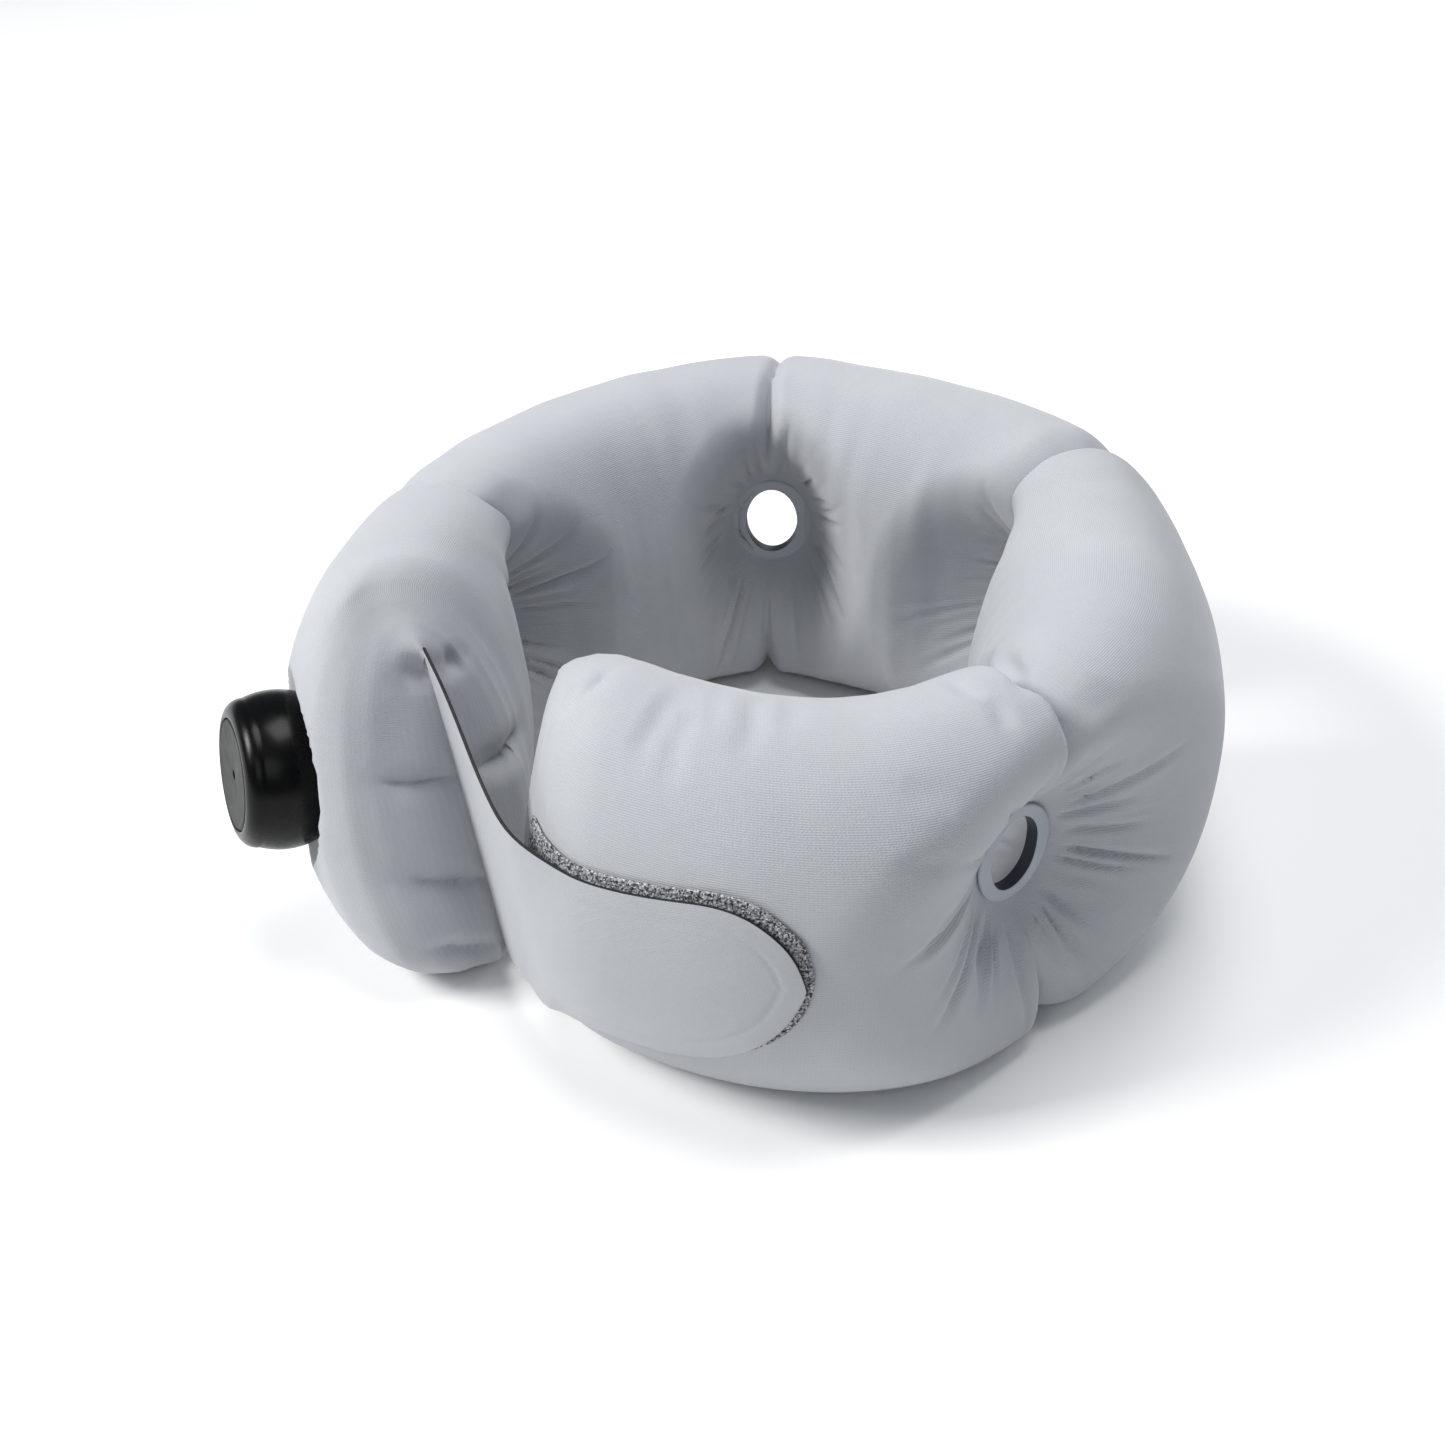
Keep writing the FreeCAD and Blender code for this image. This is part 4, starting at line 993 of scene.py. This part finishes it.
def pile(name, light, dark, speck, scale, cut, rough=0.85, bump=0.8, dist=0.0006):
    """Hook or loop tape: a dense field of tiny curls."""
    m, nt, bsdf = new_mat(name)
    obj = node(nt, "ShaderNodeTexCoord").outputs["Object"]
    vor = node(nt, "ShaderNodeTexVoronoi", feature="F1")
    vor.inputs["Scale"].default_value = scale
    vor.inputs["Randomness"].default_value = 0.85
    nt.links.new(obj, vor.inputs["Vector"])
    n1 = noise_node(nt, obj, scale * 1.2, 3.0, 0.65)
    base = ramp_node(nt, vor.outputs["Distance"], [(0.15, light), (0.75, dark)])
    spk = ramp_node(nt, n1, [(cut, (0.0,) * 3), (cut + 0.05, (1.0,) * 3)])
    nt.links.new(mix_rgb(nt, spk, base, speck), bsdf.inputs["Base Color"])
    h = math_node(nt, "SUBTRACT", n1, vor.outputs["Distance"])
    nt.links.new(bump_node(nt, h, bump, dist), bsdf.inputs["Normal"])
    nt.links.new(ramp_node(nt, n1, [(0.3, (rough - 0.1,) * 3), (0.7, (rough + 0.1,) * 3)]), bsdf.inputs["Roughness"])
    bsdf.inputs["Sheen Weight"].default_value = 0.3
    return m


M_SKIN = fabric("knit_skin", SKIN_LIGHT, SKIN_DARK)
M_STRAP = fabric("knit_strap", STRAP_LIGHT, STRAP_DARK, rough=0.74, contrast=0.15)
M_EDGE = moulded("cut_edge", (0.012, 0.012, 0.014), (0.005, 0.005, 0.006), (0.5, 0.65), 500, 0.3, 0.0003, 0.35)
M_RIM = moulded("welded_rim", RIM_LIGHT, RIM_DARK, (0.42, 0.55), 300, 0.18, 0.0003, 0.4, 1800.0)
# painted shade: the eyelet bore is coloured near-black and bluish to stand for the shadow inside the hole
M_RIM_BORE_SHADE = moulded("welded_rim_bore_painted_shade", (0.055, 0.06, 0.07), (0.035, 0.04, 0.05), (0.5, 0.6), 300, 0.15, 0.0003, 0.3, 1800.0)
M_LOOP = pile("loop_tape", (0.62, 0.63, 0.66), (0.16, 0.165, 0.18), (0.008, 0.008, 0.01), 1150.0, 0.50)
M_HOOK = pile("hook_tape", (0.10, 0.10, 0.11), (0.02, 0.02, 0.022), (0.30, 0.30, 0.32), 1300.0, 0.64)
M_LINING = moulded("film_lining", (0.42, 0.43, 0.45), (0.36, 0.37, 0.40), (0.35, 0.5), 200, 0.15, 0.0004, 0.45)
M_BULB = moulded("bulb_rubber", (0.0022, 0.0022, 0.0024), (0.0014, 0.0014, 0.0016), (0.24, 0.31), 180, 0.06, 0.00012, 0.16, 1500.0)
# the press face is the bulb's black rubber, with a matte finish of its own and a colour ten times lighter: the lighter
# colour is painted light falling from the left
M_FACE_LIT = moulded("press_face_painted_light", (0.022, 0.022, 0.023), (0.017, 0.017, 0.018), (0.50, 0.58), 220, 0.10, 0.00015, 0.2, 2200.0)
M_PLUG = moulded("plug_plastic", (0.032, 0.032, 0.035), (0.024, 0.024, 0.026), (0.4, 0.5), 200, 0.12, 0.0002, 0.5)
M_SEAL = moulded("seal_rubber", (0.050, 0.012, 0.010), (0.035, 0.009, 0.008), (0.45, 0.55), 300, 0.1, 0.0002, 0.45)
M_FILM = moulded("weld_film", (0.40, 0.41, 0.43), (0.33, 0.34, 0.36), (0.25, 0.4), 120, 0.08, 0.0003, 0.5)
M_FLAP = moulded("flap_silicone", (0.62, 0.60, 0.56), (0.52, 0.50, 0.47), (0.4, 0.5), 200, 0.08, 0.0002, 0.45)
M_FOAM = pile("open_foam", (0.32, 0.32, 0.34), (0.10, 0.10, 0.11), (0.05, 0.05, 0.055), 900.0, 0.58, 0.9, 0.9, 0.0008)

for ob in skins.values():
    ob.data.materials.append(M_SKIN)
for m_ in (M_STRAP, M_EDGE, M_LINING):
    strap.data.materials.append(m_)
for m_ in (M_LOOP, M_LOOP, M_LOOP):
    loop.data.materials.append(m_)
for m_ in (M_HOOK, M_HOOK, M_HOOK):
    hook.data.materials.append(m_)
bulb.data.materials.append(M_BULB)
foam.data.materials.append(M_FOAM)
for ob, _, _ in rims.values():
    ob.data.materials.append(M_RIM)
    ob.data.materials.append(M_RIM_BORE_SHADE)
for n, m_ in (("valve_seat", M_FILM), ("pump_plug", M_PLUG), ("pump_o_ring", M_SEAL), ("pump_press_face", M_FACE_LIT),
              ("inlet_flap", M_FLAP), ("outlet_flap", M_FLAP)):
    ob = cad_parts[n]
    ob.data.materials.clear()
    ob.data.materials.append(m_)

# ------------------------------------------------------------------ bodies
NODES = {"a": ("chamber_1_pump_end", "fold_web_a"), "b": ("chamber_2_back_left", "fold_web_b"),
         "c": ("chamber_3_back_right", "fold_web_c"), "d": ("chamber_4_right", "chamber_5_front", "fold_web_d")}


def fold_points(key, reach):
    """The place where a fold starts and ends to turn: first on the side of larger angles."""
    a = math.radians(SEAMS[key])
    c = ring_point(np.array(SEAMS[key]))
    t = np.array([-math.sin(a), math.cos(a), 0.0])
    return to_row(c + t * reach), to_row(c - t * reach)


for key, ob in skins.items():
    hi, lo = fold_points(key, 20.0)
    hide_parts(*NODES[key])
    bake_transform(ob)
    rim = rims[key][0]
    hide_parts("eyelet_ring_" + key)
    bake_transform(rim)

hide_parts("closure_strap")
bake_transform(strap)
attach(loop, "front")
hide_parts("loop_patch")
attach(hook, "strap")
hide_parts("hook_patch")
for ob, node_name, slot_name, foot, keep in ((bulb, "pump_bulb", "pump_rubber", -0.7, 0.595), (foam, "pump_foam_core", "foam", 2.8, 0.39)):
    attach(ob, "pump")
    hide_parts(node_name)
    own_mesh(ob)

# ------------------------------------------------------------------ floor and light
bm = bmesh.new()
R = 4.0
for i in range(9):
    for j in range(9):
        bm.verts.new((-R + i * R / 4, -R + j * R / 4, -0.0002))
bm.verts.ensure_lookup_table()
for i in range(8):
    for j in range(8):
        bm.faces.new([bm.verts[i * 9 + j], bm.verts[(i + 1) * 9 + j], bm.verts[(i + 1) * 9 + j + 1], bm.verts[i * 9 + j + 1]])
me = bpy.data.meshes.new("floor")
bm.to_mesh(me)
bm.free()
floor = bpy.data.objects.new("floor", me)
bpy.context.scene.collection.objects.link(floor)
m_floor, nt, bs = new_mat("floor_paper")
obj_c = node(nt, "ShaderNodeTexCoord").outputs["Object"]
nt.links.new(ramp_node(nt, noise_node(nt, obj_c, 3.0, 2.0), [(0.3, FLOOR_A), (0.7, FLOOR_B)]), bs.inputs["Base Color"])
bs.inputs["Roughness"].default_value = 0.9
bs.inputs["Specular IOR Level"].default_value = 0.1
me.materials.append(m_floor)

world = bpy.data.worlds.new("studio")
bpy.context.scene.world = world
world.use_nodes = True
bg = world.node_tree.nodes["Background"]
bg.inputs[0].default_value = (*WORLD_RGB, 1.0)
bg.inputs[1].default_value = WORLD_STRENGTH


def area_light(name, loc, target, size, power, color=(1, 1, 1)):
    d = bpy.data.lights.new(name, "AREA")
    d.shape = "RECTANGLE"
    d.size, d.size_y = size
    d.energy = power
    d.color = color
    o = bpy.data.objects.new(name, d)
    bpy.context.scene.collection.objects.link(o)
    o.location = loc
    o.rotation_euler = (Vector(target) - Vector(loc)).to_track_quat("-Z", "Y").to_euler()
    return o


bpy.context.scene.view_settings.view_transform = "Standard"
for args in LIGHTS:
    area_light(*args)

bpy.context.view_layer.update()
